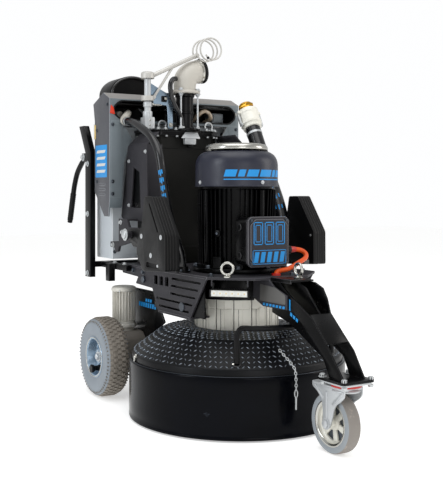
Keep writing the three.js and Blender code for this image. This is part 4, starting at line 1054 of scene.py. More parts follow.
def build_caster():
    bm = bmesh.new()
    prism(bm, "xy", rounded(chamfered(CASTER_X - 72, CASTER_X + 62, -60, 60, 10), 6), 239.7, 246.7)
    publish("caster_top_plate_pressing", bm, "pale_zinc", replaces="caster_top_plate", bevel=1)
    bm = bmesh.new()
    lathe(bm, [(11, 229.2), (49, 229.2), (50.6, 231), (50.6, 237), (48.6, 239.5), (11, 239.5)], 64,
          moved(CASTER_X, 0, 0))
    publish("caster_race_seal", bm, "red")
    bm = bmesh.new()
    lathe(bm, [(40, 238.4), (56, 238.4), (57, 239.6), (40, 239.6)], 64, moved(CASTER_X, 0, 0))
    publish("caster_race_cup", bm, "zinc")

    top = 228.7
    leg = [(530, top), (697, top), (694, 200), (676, 184), (655, 172), (642, 152), (634, 124), (624, 96),
           (616, 86), (604, 82), (592, 86), (586, 96), (586, 140), (580, 176), (560, 196), (530, 212)]
    bm = bmesh.new()
    prism(bm, "xy", rounded(rect(528, 698, -44, 44), 16), top - 7, top - 0.2)
    for y0, y1 in ((-39, -34), (34, 39)):
        prism(bm, "xz", rounded(leg, 9, 4), y0, y1)
    for side in (-1, 1):
        for rib in (rect(598, 610, 205, 118),
                    [(538, 218), (546, 224), (590, 184), (584, 176)],
                    [(690, 222), (694, 214), (640, 164), (634, 172)]):
            side_prism(bm, side, rounded(rib, 3), 38, 41)
    lathe(bm, disc_profile(48, top - 16, top - 6.8, 4), 48, moved(CASTER_X, 0, 0))
    cylinder(bm, (CASTER_X, 0, 222), (CASTER_X, 0, 245), 9.4, 24)
    publish("caster_fork_pressing", bm, "pale_zinc", "caster_swivel", "caster_fork", bevel=1.4)
    bm = bmesh.new()
    for side in (-1, 1):
        lathe(bm, disc_profile(19, 0, 2.4, 0.5), 40,
              along((AXLE_X, side * 39, 100), (AXLE_X, side * 60, 100)))
        bolt(bm, (AXLE_X, side * 41.2, 100), (0, side, 0), 25, 6.4, False)
    cylinder(bm, (AXLE_X, -44, 100), (AXLE_X, 44, 100), 8, 24)
    publish("caster_axle_nuts", bm, "pale_zinc", "caster_swivel")

    place = moved(AXLE_X, 0, 100) @ AXIS_TURN["y"]
    half = [(74, 23), (76, 24.6), (79, 25), (92, 25), (96.5, 24), (99, 20.5), (100, 14)]
    bm = bmesh.new()
    lathe(bm, half + [(r, -y) for r, y in reversed(half)], 96, place)
    tyre = publish("caster_tyre_ring", bm, "caster_rubber", "caster_wheel", "caster_wheel", smooth=40)
    recolour(tyre, "caster_tread", lambda face: abs(face.normal.y) < 0.6)
    bm = bmesh.new()
    hub = [(8.6, 31), (17, 31), (18, 29.4), (19, 12), (26, 9)]
    drum = [(60, 9), (67, 12), (69, 20), (70, 23.4), (73.4, 24.2), (74.2, 22.4)]
    lathe(bm, hub + [(r, -y) for r, y in reversed(hub)], 96, place)
    lathe(bm, drum + [(r, -y) for r, y in reversed(drum)], 96, place)
    for k in range(6):
        turn = place @ turned(60 * k + 20)
        prism(bm, "xy", [(22, -9), (62, -12), (62, 12), (22, 9)], -8, 8, turn)
    publish("caster_wheel_centre", bm, "cast", "caster_wheel", bevel=1)
    # a dark disc inside the wheel centre so the windows between the spokes read dark: painted shade
    bm = bmesh.new()
    lathe(bm, rect(20, 64, -2, 2), 96, place)
    publish("caster_wheel_shade_disc", bm, "dark_steel", "caster_wheel")
    bm = bmesh.new()
    for side in (-1, 1):
        lathe(bm, [(67, side * 22), (69.5, side * 24.4), (75, side * 25.6), (77.4, side * 25.2),
                   (76, side * 23), (70, side * 22)], 96, place)
    publish("caster_rim_lips", bm, "bright", "caster_wheel", smooth=40)


# ---------------------------------------------------------------- rear wheels and drives

WHEEL_X, WHEEL_Y, WHEEL_R = -520, 330, 165


def wheel_place(side):
    """Local Z points outwards along the axle; the origin is the wheel's middle."""
    return moved(WHEEL_X, side * WHEEL_Y, WHEEL_R) @ Matrix.Rotation(-side * math.pi / 2, 4, "X")


def build_wheel(name, side):
    place = wheel_place(side)
    body = f"wheel_{name}"
    half = [(77, 44), (82, 45.5), (90, 46), (104, 49.6), (114, 51.8), (128, 52.6), (140, 51), (149, 46.5),
            (156, 39), (160, 25), (161.4, 0)]
    bm = bmesh.new()
    lathe(bm, half + [(r, -y) for r, y in reversed(half[:-1])], 96, place)
    for row in range(48):
        for column in range(5):
            y = -35.6 + 17.8 * column
            high = 165 if abs(y) < 30 else 162.4
            base = 157.5 if abs(y) < 30 else 154
            degrees = 7.5 * (row + 0.5 * (column % 2))
            turn = place @ turned(degrees)
            reach, width = 7.6, 7.6
            corners = [(base, -reach, y - width), (base, reach, y - width), (base, reach, y + width),
                       (base, -reach, y + width), (high, 1 - reach, y + 1.4 - width),
                       (high, reach - 1, y + 1.4 - width), (high, reach - 1, y + width - 1.4),
                       (high, 1 - reach, y + width - 1.4)]
            if abs(y) > 30:
                corners = [(r - (4.5 if z * y > 0 and abs(z) > 40 else 0), t, z) for r, t, z in corners]
            wedge(bm, [turn @ Vector((math.sqrt(max(r * r - t * t, 0)), t, z)) for r, t, z in corners])
    for row in range(60):
        turn = place @ turned(6 * row)
        for y0, y1 in ((43, 51.6), (-51.6, -43)):
            block(bm, 143, 150.4, -2, 2, y0, y1, turn)
    tyre = publish(f"wheel_tyre_turf_{name}", bm, "rubber", body, f"wheel_tyre_{name}")
    recolour(tyre, "sidewall",
             lambda face: abs(face.normal.y) > 0.55 and not 0.288 <= abs(face.center.y) <= 0.372)

    bm = bmesh.new()
    lathe(bm, [(0, -112), (12.4, -112), (12.4, -20), (31, -20), (31, -4), (66, -4), (70, -8), (72, -40),
               (74, -47), (84, -48), (86, -46.5), (85.5, -44.4), (76.7, -44.3), (74.6, -30), (74.6, 30),
               (76.7, 44.3), (85.5, 44.4), (86, 46.5), (84, 48), (75, 47), (72.4, 42), (71, 12), (66, 4.6),
               (48, 3), (40, 6), (33, 8), (31, 24), (29.5, 26), (0, 26)], 96, place)
    publish(f"wheel_rim_spun_{name}", bm, "rim", body, f"wheel_rim_{name}", smooth=40)
    bm = bmesh.new()
    outward = Vector((0, side, 0))
    for k in range(5):
        angle = 2 * math.pi * (k + 0.5) / 5
        spot = place @ Vector((52 * math.cos(angle), 52 * math.sin(angle), 4))
        bolt(bm, spot, outward, 14, 8)
    bolt(bm, place @ Vector((0, 0, 26)), outward, 24, 10)
    for k in range(8):
        angle = 2 * math.pi * (k + 0.25) / 8
        bolt(bm, place @ Vector((22 * math.cos(angle), 22 * math.sin(angle), 25.6)), outward, 6, 3, False)
    publish(f"wheel_bolts_{name}", bm, "pale_zinc", body)
    # bright steel rings on the rim's rolled lips: a painted highlight along the lips
    bm = bmesh.new()
    for z in (-47.4, 47.4):
        torus(bm, lambda a: place @ polar(81, math.degrees(a), z), 72, 2.3, 12)
    publish(f"wheel_rim_lip_highlights_{name}", bm, "bright", body)

    bm = bmesh.new()
    knob = place @ moved(0, side * 48, 0)
    lathe(bm, [(0, -12), (6, -12), (6, 16.5), (12, 17), (13, 19), (13, 27), (10.5, 29), (10.5, 44),
               (13, 46), (13, 49), (16, 50), (17, 52), (17, 59), (14.5, 62), (0, 62)], 40, knob)
    publish(f"freewheel_knob_grip_{name}", bm, "plastic", f"knob_{name}", f"freewheel_knob_{name}")


def build_drive(name, side):
    x, y = -565, side * 218
    bm = bmesh.new()
    prism(bm, "xz", rounded([(-604, 110), (-586, 92), (-480, 92), (-462, 110), (-462, 238), (-490, 262),
                             (-590, 262), (-604, 250)], 12), *ordered(side, 164, 257))
    side_block(bm, side, -598, -468, 166, 255, 205, 211)
    side_prism(bm, side, rect(-600, -466, 130, 136), 255, 261)
    lathe(bm, disc_profile(44, 0, 5, 1.5), 48, along((WHEEL_X, side * 256, WHEEL_R),
                                                     (WHEEL_X, side * 300, WHEEL_R)))
    publish(f"drive_gearbox_{name}", bm, "gearbox", "chassis", f"drive_unit_{name}", bevel=3, segments=3)
    bm = bmesh.new()
    upright = moved(x, y, 0)
    lathe(bm, [(0, 261), (46, 261), (46, 268), (42, 270), (42, 275), (54, 276), (54, 288), (50, 291),
               (50, 302), (0, 302)], 64, upright)
    lathe(bm, rect(0, 43, 301, 431), 64, upright)
    for k in range(24):
        block(bm, 41, 50.4, -1.5, 1.5, 304, 428, upright @ turned(15 * k))
    lathe(bm, [(0, 429), (53, 429), (54, 431), (54, 440), (51, 446), (44, 450), (28, 452), (0, 452)], 64,
          upright)
    publish(f"drive_motor_{name}", bm, "drive", bevel=0.6, segments=1)
    bm = bmesh.new()
    for k in range(4):
        bolt(bm, Vector((x, y, 431)) + polar(54, 45 + 90 * k, 0), polar(1, 45 + 90 * k, 0), 7, 3, False,
             False)
        bolt(bm, Vector((x, y, 288)) + polar(51, 30 + 90 * k, 0), (0, 0, 1), 6, 4, False)
    for dx, dz in ((-32, 30), (32, 30), (-32, -30), (32, -30)):
        bolt(bm, (WHEEL_X + dx, side * 257, WHEEL_R + dz), (0, side, 0), 10, 5)
    publish(f"drive_bolts_{name}", bm, "zinc")


# ---------------------------------------------------------------- weights and their brackets

WEIGHT_ARM = [(-74, 839), (-12, 839), (92, 697), (93, 568), (-86, 557), (-140, 622), (-140, 640),
              (-240, 640), (-282, 672), (-282, 702), (-262, 712), (-110, 712), (-98, 725)]
PIVOT = (-262, 687)


def build_weight(name, side):
    body = f"weight_{name}"
    block_outline = [q for q in WEIGHT_ARM if q[0] > -142]
    bm = bmesh.new()
    seams = [303, 318, 330, 341, 352, 363]
    for k, (low, high) in enumerate(zip(seams, seams[1:])):
        outline = WEIGHT_ARM if k == 1 else block_outline
        inset = 0.8 if k in (0, 2) else 0.0
        outline = [(px * (1 - inset * 0.004), pz - inset * (0.6 if pz > 700 else -0.6)) for px,
                   pz in outline]
        side_prism(bm, side, rounded(outline, 9, 4), low + 0.15, high - 0.15)
    holes = bmesh.new()
    side_prism(holes, side, rounded(rect(-60, 40, 574, 594), 9), 355, 375)
    a, b = Vector((-10, 826)), Vector((60, 722))
    across = Vector((b.y - a.y, a.x - b.x)).normalized() * 4
    slot_outline = [tuple(a + across), tuple(b + across), tuple(b - across), tuple(a - across)]
    side_prism(holes, side, [(px - 24, pz - 14) for px, pz in slot_outline], 357, 375)
    cylinder(holes, (PIVOT[0], side * 305, PIVOT[1]), (PIVOT[0], side * 340, PIVOT[1]), 14.7, 32, 0.01)
    publish(f"side_weight_stack_{name}", bm, "weight", body, f"side_weight_{name}", bevel=0.7, carve=holes)
    bm = bmesh.new()
    for px, pz in ((-98, 688), (60, 690), (-20, 620)):
        lathe(bm, disc_profile(9.5, 0, 1.4, 0.4), 32, along((px, side * 362.6, pz), (px, side * 380, pz)))
        bolt(bm, (px, side * 363.8, pz), (0, side, 0), 8, 1.5, False)
    cylinder(bm, (28, side * 354, 584), (28, side * 361, 584), 6, 24)
    bolt(bm, (72, side * 303.2, 683), (0, -side, 0), 8, 1.6, False, False)
    publish(f"side_weight_bolts_{name}", bm, "pale_zinc", body)
    bm = bmesh.new()
    side_prism(bm, side, rounded(rect(32, 62, 566, 584), 5), 302.2, 303.4)
    publish(f"side_weight_tag_{name}", bm, "label", body)


def build_bracket(name, side):
    refine(f"side_bracket_{name}", "frame", 1.6)
    # a near-black sheet behind the bracket's slot: painted shade inside the slot
    bm = bmesh.new()
    side_block(bm, side, -452, -350, 228, 232, 780, 970)
    publish(f"side_bracket_shade_liner_{name}", bm, "motor", bevel=0.8)
    bm = bmesh.new()
    lathe(bm, [(0, 0), (24, 0), (24, 2), (17, 3), (16, 8), (11, 12), (0, 13.5)], 40,
          along((PIVOT[0], side * 353.4, PIVOT[1]), (PIVOT[0], side * 380, PIVOT[1])))
    for x, z in ((-466, 985), (-466, 800), (-310, 1020), (-306, 770)):
        bolt(bm, (x, side * SIDE_PLATE_Y, z), (0, side, 0), 10, 5)
    for x, z in ((-500, 634), (-410, 690), (-425, 730)):
        bolt(bm, (x, side * 297, z), (0, side, 0), 12, 7)
    publish(f"side_bracket_bolts_{name}", bm, "zinc")


build_head()
build_motor()
build_work_light()
build_frame()
build_caster()
for name, side in SIDES:
    build_wheel(name, side)
    build_drive(name, side)
    build_weight(name, side)
    build_bracket(name, side)

# ---------------------------------------------------------------- vacuum and water column

INLET_X, INLET_Y = -430, 8
MAST_X, MAST_Y = -400, -186
LID_TOP = 1120


def build_tank():
    refine("dust_tank", "tank", 1.8)
    refine("tank_lid", "gloss_black", 1.4)
    bm = bmesh.new()
    outline = [(-545, -178), (-432, -178), (-390, -126), (-390, 126), (-432, 178), (-545, 178)]
    edges = list(zip(outline, outline[1:]))
    for (x0, y0), (x1, y1) in edges:
        length = math.hypot(x1 - x0, y1 - y0)
        count = max(2, int(length / 46))
        outward = Vector((y1 - y0, x0 - x1, 0)).normalized()
        for k in range(count):
            share = (k + 0.5) / count
            spot = Vector((x0 + (x1 - x0) * share, y0 + (y1 - y0) * share, 0)) - outward * 11
            bolt(bm, spot + Vector((0, 0, LID_TOP)), (0, 0, 1), 12, 8)
            bolt(bm, spot + outward * 9 + Vector((0, 0, 1096)), (0, 0, -1), 10, 7, False)
    publish("tank_lid_bolts", bm, "zinc")
    bm = bmesh.new()
    for (x0, y0), (x1, y1) in edges:
        length = math.hypot(x1 - x0, y1 - y0)
        place = moved(x0, y0, 0) @ Matrix.Rotation(math.atan2(y1 - y0, x1 - x0), 4, "Z")
        block(bm, 2, length - 2, 3, 16, 1096, 1112, place)
    publish("tank_rim_flange", bm, "gloss_black", bevel=1.5)
    bm = bmesh.new()
    for x, y in ((-470, -80), (-470, 150)):
        base = moved(x, y, LID_TOP)
        torus(bm, lambda a: base @ Vector((0, 18 * math.cos(a), 24 + 18 * math.sin(a))), 48, 4.4, 14)
        lathe(bm, [(0, 0), (11, 0), (11, 3), (6, 6), (0, 6)], 32, base)
    publish("tank_lid_eyes", bm, "zinc")
    bm = bmesh.new()
    wedge(bm, [(-390, -8, 1117), (-390, 43, 1117), (-374, 51, 1084), (-374, -41, 1084),
               (-386, -8, 1117), (-386, 43, 1117), (-370, 51, 1084), (-370, -41, 1084)])
    prism(bm, "yz", rounded(rect(-23, 31, 1059, 1085), 5), -388, -372)
    for y in (6, 28):
        bolt(bm, (-387, y, 1108), (1, 0, 0), 6, 2, False, False)
    publish("tank_lid_latch", bm, "pale_zinc", bevel=1)
    bm = bmesh.new()
    for z in (620, 1040):
        block(bm, -541, -434, -164.5, -161, z, z + 5)
        block(bm, -541, -434, 161, 164.5, z, z + 5)
        block(bm, -401, -398.6, -116, 116, z, z + 5)
    publish("tank_weld_ribs", bm, "tank", bevel=1)


def build_inlet():
    x, y = INLET_X, INLET_Y
    base = moved(x, y, 0)
    bm = bmesh.new()
    lathe(bm, [(30, 1120.4), (66, 1120.4), (66, 1127), (44, 1127.6), (38, 1133), (37, 1140), (37, 1190),
               (40, 1192), (40, 1200), (37, 1202), (37, 1262), (42, 1266), (42, 1277.6), (30, 1277.6)], 64,
          base)
    publish("inlet_column_tube", bm, "gloss_black", replaces="inlet_column")
    bm = bmesh.new()
    for k in range(4):
        foot = Vector((x, y, 1126)) + polar(58, 45 + 90 * k, 0)
        cylinder(bm, foot, foot + Vector((0, 0, 151)), 4, 20)
        bolt(bm, foot, (0, 0, 1), 15, 10)
        bolt(bm, foot + Vector((0, 0, 151)), (0, 0, -1), 15, 9)
        bolt(bm, foot + Vector((0, 0, 164)), (0, 0, 1), 15, 8)
    publish("inlet_tie_rods", bm, "pale_zinc")

    bm = bmesh.new()
    bend = spline([(x, y, 1288), (x, y, 1318), (x, y + 6, 1346), (x, y + 30, 1369), (x, y + 64, 1379.5),
                   (x, y + 82, 1383)], 10)
    sweep(bm, bend, lambda share: 47 + 3 * min(1, share * 3), 56)
    lathe(bm, [(0, 1278), (64, 1278), (66, 1280), (66, 1288), (64, 1290), (50, 1291), (48, 1296),
               (0, 1296)], 64,
          base)
    for k in range(3):
        point, after = bend[14 + 11 * k], bend[15 + 11 * k]
        lathe(bm, [(0, -3), (51.5, -3), (52.2, 0), (51.5, 3), (0, 3)], 56, along(point, after))
    for degrees in (45, 135, 225, 315):
        block(bm, 44, 60, -2.5, 2.5, 1289, 1316, base @ turned(degrees))
    side_port = along((x, y, 1342), (x + 26, y - 70, 1339))
    lathe(bm, [(0, 0), (27, 0), (26, 50), (24, 54), (20, 56), (20, 60), (0, 60)], 40, side_port)
    bore = bmesh.new()
    sweep(bore, spline([(x, y + 4, 1346), (x, y + 30, 1369), (x, y + 64, 1379.5), (x, y + 82, 1383),
                        (x, y + 110, 1389)], 8), 40, 48)
    publish("inlet_elbow_casting", bm, "white", replaces="inlet_elbow", smooth=45, carve=bore)
    bm = bmesh.new()
    start, tip = Vector((x, y + 74, 1381.8)), Vector((x, y + 88, 1384.5))
    lathe(bm, [(40.4, 0), (52.6, 0), (54, 2), (54, 12), (52.4, 14.2), (42, 14.2), (40.4, 12)], 64,
          along(start, tip))
    publish("inlet_mouth_collar", bm, "plastic", smooth=40)
    bm = bmesh.new()
    band = along(Vector((x, y + 62, 1379)), tip)
    lathe(bm, rect(50, 51.6, 0, 8), 64, band)
    block(bm, 48, 56, -8, 8, 0.5, 7.5, band @ turned(180))
    publish("inlet_hose_clip", bm, "bright")
    bm = bmesh.new()
    sweep(bm, spline([(x + 20, y - 54, 1339.6), (x + 30, y - 74, 1334), (x + 36, y - 88, 1316),
                      (x + 38, y - 90, 1290), (x + 38, y - 82, 1252), (x + 38, y - 64, 1214),
                      (x + 36, y - 42, 1182), (x + 30, y - 30, 1152), (x + 27, y - 28, 1121)], 8), 10.5, 24)
    publish("inlet_bypass_hose", bm, "hose")
    bm = bmesh.new()
    lathe(bm, [(9, 0), (15, 0), (15, 5), (12, 7), (12, 16), (9, 16)], 32, moved(x + 27, y - 28, LID_TOP))
    publish("inlet_hose_ends", bm, "zinc")


def build_boom():
    x, y = MAST_X, MAST_Y
    base = moved(x, y, 0)
    bm = bmesh.new()
    block(bm, x - 22, x + 22, y - 22, y + 22, 1120.4, 1167)
    lathe(bm, [(0, 1166), (20, 1166), (20, 1190), (18, 1193), (14, 1193.6), (14, 1210), (17, 1210.6),
               (18, 1212), (18, 1230), (16, 1232), (14, 1232.4), (14, 1328), (10, 1329), (10, 1352),
               (0, 1352)], 48, base)
    web = [(y, 1322), (-95, 1276), (-62, 1276), (-62, 1124.4), (-84, 1124.4), (-90, 1222), (-155, 1226),
           (-155, 1264), (y, 1264)]
    publish("boom_mast_post", bm, "pale_zinc", replaces="boom_mast", bevel=0.7)
    bm = bmesh.new()
    prism(bm, "yz", rounded(web, 8, 4), x - 13, x - 7.4)
    publish("boom_mast_web", bm, "rim", bevel=1)
    bm = bmesh.new()
    prism(bm, "yz", rounded(rect(-118, -92, 1236, 1262), 4), x - 7.4, x - 5.4)
    publish("boom_web_plug", bm, "plastic", bevel=0.8)
    bm = bmesh.new()
    for z in (1134, 1154):
        bolt(bm, (x + 22, y, z), (1, 0, 0), 7, 2.5, False, False)
    cylinder(bm, (x, y + 12, 1221), (x, y + 58, 1221), 4.4, 20)
    lathe(bm, [(0, 0), (5, 0), (1.4, 10), (0, 10)], 20, along((x, y + 58, 1221), (x, y + 90, 1221)))
    lathe(bm, rect(0, 9, 0, 6), 6, along((x, y + 18, 1221), (x, y + 90, 1221)))
    for py, pz in ((-100, 1250), (-73, 1140)):
        bolt(bm, (x - 7.4, py, pz), (1, 0, 0), 12, 6)
    publish("boom_mast_bolts", bm, "bright")

    bm = bmesh.new()
    lathe(bm, [(10.8, 1329), (27, 1329), (28, 1330.5), (28, 1350), (26, 1354), (20, 1357.4), (10, 1358),
               (0, 1358), (0, 1354), (10.8, 1354)], 48, base)
    cylinder(bm, (x, y + 22, 1343), (x, 52, 1446), 9, 28)
    cylinder(bm, (x, y + 24, 1246), (x, -62, 1394), 5.5, 20)
    lathe(bm, [(14.8, 1236), (26, 1236), (27, 1237), (27, 1255), (26, 1256), (14.8, 1256)], 48, base)
    lathe(bm, [(0, 0), (7.6, 0), (8.2, 1), (8.2, 9), (7.6, 10), (0, 10)], 28,
          along((x, -66, 1390), (x, -54, 1402)))
    cylinder(bm, (x, y + 24, 1246), (x, y + 34, 1258), 8, 24)
    start_angle = math.pi * 1.22
    helix = []
    for k in range(3 * 40 + 1):
        share = k / 120
        angle = start_angle - 2 * math.pi * 3 * share
        helix.append(Vector((x - 14 + 98 * share, 84 + 47 * math.cos(angle), 1466 + 47 * math.sin(angle))))
    sweep(bm, helix, 3.5, 16)
    cylinder(bm, (x, 52, 1446), helix[0], 6, 20)
    lathe(bm, [(0, -9), (8, -9), (10.5, -5), (10.5, 5), (8, 9), (0, 9)], 28,
          along((x, 50, 1444.6), (x, 54, 1447.4)))
    publish("boom_arm_rod", bm, "wire", "boom", "boom_arm")
    bm = bmesh.new()
    tip, before = helix[-1], helix[-2]
    lathe(bm, [(0, -1), (5, -1), (5.6, 1), (5.6, 6), (4, 8), (0, 8.4)], 20,
          along(tip - (tip - before) * 2.6, tip))
    publish("boom_coil_tip", bm, "plastic", "boom")


def build_pipes():
    water = [(-452, -262, 1152), (-396, -262, 1145), (-316, -262, 1119), (-219, -262, 1074),
             (-156, -262, 1012), (-122, -262, 930), (-96, -262, 850), (-74, -258, 770), (-54, -244, 690),
             (-42, -226, 620), (-40, -218, 570), (-40, -216, 552)]
    vacuum = [(-282, 262, 1128), (-225, 262, 1027), (-150, 262, 894), (-90, 260, 790), (-52, 248, 712),
              (-34, 224, 640), (-30, 206, 590), (-30, 205, 551)]
    for name, route, radius, node, pitch in (("water", water, 16.2, "water_pipe", 31),
                                             ("vacuum", vacuum, 32.6, "vacuum_pipe", 50)):
        line = spline(route, 24)
        bm = bmesh.new()
        sweep(bm, line, radius, 40)
        publish(f"{name}_pipe_hose", bm, "hose", replaces=node)
        bm = bmesh.new()
        for end, inner in ((0, 14), (-1, -18)):
            point, other = line[end], line[inner]
            lathe(bm, rect(radius - 1, radius + 1.6, 0, 10), 48,
                  along(point + (other - point) * 0.35, other))
        publish(f"{name}_pipe_clips", bm, "zinc")
        bm = bmesh.new()
        lathe(bm, [(radius - 2, 550), (radius + 13, 550), (radius + 13, 556), (radius + 5, 558),
                   (radius + 4, 572), (radius - 2, 572)], 48, moved(route[-1][0], route[-1][1], 0))
        publish(f"{name}_pipe_flange", bm, "gloss_black")
        bm = bmesh.new()
        travelled = 0.0
        for here, after in zip(line, line[1:]):
            if not 740 < here.z < 968:
                continue
            travelled += (after - here).length
            if travelled < pitch:
                continue
            travelled = 0.0
            band = along(here, after)
            way = band.inverted().to_3x3() @ Vector((0.55, -0.83 if name == "water" else -0.3, 0.1))
            angle = math.atan2(way.y, way.x)
            for k in range(3):
                turn = band @ Matrix.Rotation(angle + (k - 1) * 0.42, 4, "Z")
                block(bm, radius - 0.8, radius + 0.3, -2.4, 2.4, 0, 17 + 6 * (k % 2), turn)
        publish(f"{name}_pipe_marking", bm, "blue")
        bm = bmesh.new()
        x, y = route[-1][:2]
        for k in range(4):
            bolt(bm, Vector((x, y, 556)) + polar(radius + 8.5, 45 + 90 * k, 0), (0, 0, 1), 8, 5)
        publish(f"{name}_pipe_bolts", bm, "dark_steel")
    bm = bmesh.new()
    bracket = rect(-430, -400, -286, -240)
    prism(bm, "xy", rounded(bracket, 5), 1124, 1128)
    block(bm, -420, -410, -242, -176, 1121, 1127)
    publish("water_pipe_bracket", bm, "gloss_black", bevel=1)

    start, direction = Vector((-285, 262, 1133.5)), Vector((-0.485, 0, 0.8745))
    point = lambda distance: start + direction * distance
    place = along(start, start + direction)
    bm = bmesh.new()
    lathe(bm, [(0, -4), (40, -4), (40, 11), (45, 13), (46, 15), (46, 26), (43.5, 29), (43.5, 62), (46, 65),
               (46, 82), (44, 84), (0, 84)], 64, place)
    tilt = math.atan2(direction.x, direction.z)
    for name, side in SIDES:
        spot = point(72) + Vector((0, side * 53, 0))
        lever = (Matrix.Translation(spot) @ Matrix.Rotation(tilt, 4, "Y")
                 @ Matrix.Rotation(side * math.pi / 2, 4, "Z"))
        for end in (-1, 1):
            block(bm, -12, 5, 9 * end - 2, 9 * end + 2, -7, 4, lever)
        cylinder(bm, lever @ Vector((0, -11, 0)), lever @ Vector((0, 11, 0)), 2.4, 20)
        blade = bmesh.new()
        prism(blade, "xz", rounded([(-5, 4), (5, 4), (5, -52), (1.4, -66), (-6, -66), (-4, -52)], 2.5), -6,
              6, lever)
        block(blade, -6, 2, -9, 9, -65.6, -54, lever)
        publish(f"camlock_lever_cast_{name}", blade, "zinc", f"lever_{name}", f"camlock_lever_{name}",
                bevel=1.2)
    publish("camlock_coupling_cast", bm, "cast", replaces="camlock_coupling", bevel=0.8)
    bm = bmesh.new()
    lathe(bm, [(0, 84.4), (31, 84.4), (32, 86), (32, 99), (0, 99)], 64, place)
    lathe(bm, [(0, 99), (36, 99), (36, 111), (32, 113), (0, 113)], 6, place)
    lathe(bm, [(0, 112), (29, 112), (29, 117), (26, 120), (12, 120), (11, 117), (0, 117)], 64, place)
    publish("camlock_cap_brass", bm, "brass", "dust_cap", "camlock_cap", bevel=1)


# ---------------------------------------------------------------- operator's end


def build_hood():
    shell = refine("hood", "hood", 2.2, 3)
    recolour(shell, "hood_front", lambda face: face.normal.x > 0.8)
    # the upward faces take a lighter grey: painted highlight on the lit top of the hood
    recolour(shell, "hood_top", lambda face: face.normal.z > 0.3)
    bm = bmesh.new()
    for y0, y1 in ((-314, -262), (262, 314)):
        prism(bm, "yz", rounded(rect(y0, y1, 832, 1156), 8), -488.6, -487)
    publish("hood_front_panels", bm, "hood_front", bevel=0.6)
    bm = bmesh.new()
    recess_rim = [(-272, 1160), (-302, 1184), (-304, 1216), (-272, 1244), (272, 1244), (304, 1216),
                  (302, 1184), (272, 1160)]
    rim_inner = [(y * 0.978, 1202 + (z - 1202) * 0.86) for y, z in recess_rim]
    point = lambda q, x: Vector((x, q[0], q[1]))
    rings = [[bm.verts.new(point(q, x)) for q in rounded(ring, 14, 4)]
             for ring, x in ((recess_rim, -488.6), (recess_rim, -486.4), (rim_inner, -486.4),
                             (rim_inner, -488.6))]
    for a, b in zip(rings, rings[1:] + rings[:1]):
        for i in range(len(a)):
            j = (i + 1) % len(a)
            bm.faces.new((a[i], a[j], b[j], b[i]))
    publish("hood_recess_seal", bm, "plastic", smooth=30)

    bm = bmesh.new()
    bars = bmesh.new()
    for _, side in SIDES:
        side_prism(bm, side, rounded(rect(-634, -514, 918, 1056), 6), 319.6, 321.2)
        for k in range(4):
            z = 938 + 28 * k
            side_prism(bars, side, slant(-622, 86, z, z + 12, 10), 321, 321 + MARK)
    publish("hood_badge_plates", bm, "blue", bevel=0.4)
    publish("hood_badge_bars", bars, "label")
    bm = bmesh.new()
    prism(bm, "xz", rounded(rect(-646, -634, 1084, 1146), 3), -321.2, -319.6)
    publish("hood_side_label", bm, "led")
    bm = bmesh.new()
    prism(bm, "xz", rounded(rect(-654, -648, 1084, 1150), 2), -321.2, -319.6)
    publish("hood_side_tag", bm, "label")
    bm = bmesh.new()
    for y in (-306, 306):
        for z in (848, 900, 1140):
            bolt(bm, (-487, y, z), (1, 0, 0), 9, 3.4, True, False)
    for side in (-1, 1):
        for x, z in ((-620, 900), (-620, 1120), (-510, 1225)):
            bolt(bm, (x, side * 320, z), (0, side, 0), 9, 3.4, True, False)
    publish("hood_screws", bm, "dark_steel")
    bm = bmesh.new()
    for side in (-1, 1):
        for k in range(3):
            z = 840 + 22 * k
            side_prism(bm, side, rounded(rect(-600, -530, z, z + 9), 4), 319, 321.4)
    publish("hood_side_louvres", bm, "hood", bevel=0.8)

    bm = bmesh.new()
    wedge = [(-318, 1186), (-296, 1182), (-303, 1212), (-314, 1222)]
    prism(bm, "yz", rounded(wedge, 3), -500, -484.6)
    publish("marker_lamp_lens", bm, "amber", bevel=2)
    bm = bmesh.new()
    lathe(bm, [(0, 0), (15, 0), (15, 8), (11, 12), (11, 26), (14, 28), (14, 36), (0, 36)], 36,
          along((-600, -236, 1190), (-500, -236, 1190)))
    publish("recess_fitting_ivory", bm, "white", bevel=0.6)
    bm = bmesh.new()
    sweep(bm, spline([(-560, -206, 1196), (-530, -214, 1194), (-502, -236, 1180), (-482, -256, 1162),
                      (-464, -262, 1154), (-450, -262, 1152)], 8), lambda share: 13 + 5 * share, 28)
    publish("water_inlet_elbow", bm, "white")
    bm = bmesh.new()
    sweep(bm, spline([(-600, -180, 1200), (-560, -176, 1216), (-520, -170, 1214), (-508, -150, 1190),
                      (-520, -130, 1176), (-600, -126, 1172)], 8), 8, 20)
    sweep(bm, spline([(-620, -60, 1180), (-560, -40, 1214), (-516, 0, 1216), (-512, 60, 1200),
                      (-560, 84, 1178), (-620, 90, 1176)], 8), 7, 20)
    publish("recess_hoses", bm, "hose")
    bm = bmesh.new()
    sweep(bm, spline([(-610, 120, 1172), (-560, 122, 1180), (-520, 126, 1200), (-508, 150, 1218),
                      (-514, 180, 1208), (-520, 190, 1186), (-580, 192, 1176)], 10), 9, 24)
    publish("recess_clear_hose", bm, "clear_hose")
    bm = bmesh.new()
    block(bm, -600, -528, 206, 262, 1168, 1212)
    block(bm, -528.4, -524, 212, 256, 1174, 1206)
    publish("recess_valve_block", bm, "hood_front", bevel=3, segments=3)
    bm = bmesh.new()
    block(bm, -620, -560, -20, 60, 1166, 1216)
    publish("recess_relay_box", bm, "gloss_black", bevel=3, segments=3)


CONSOLE_FACE = -793
STOP_Y, STOP_Z = -178, 1312


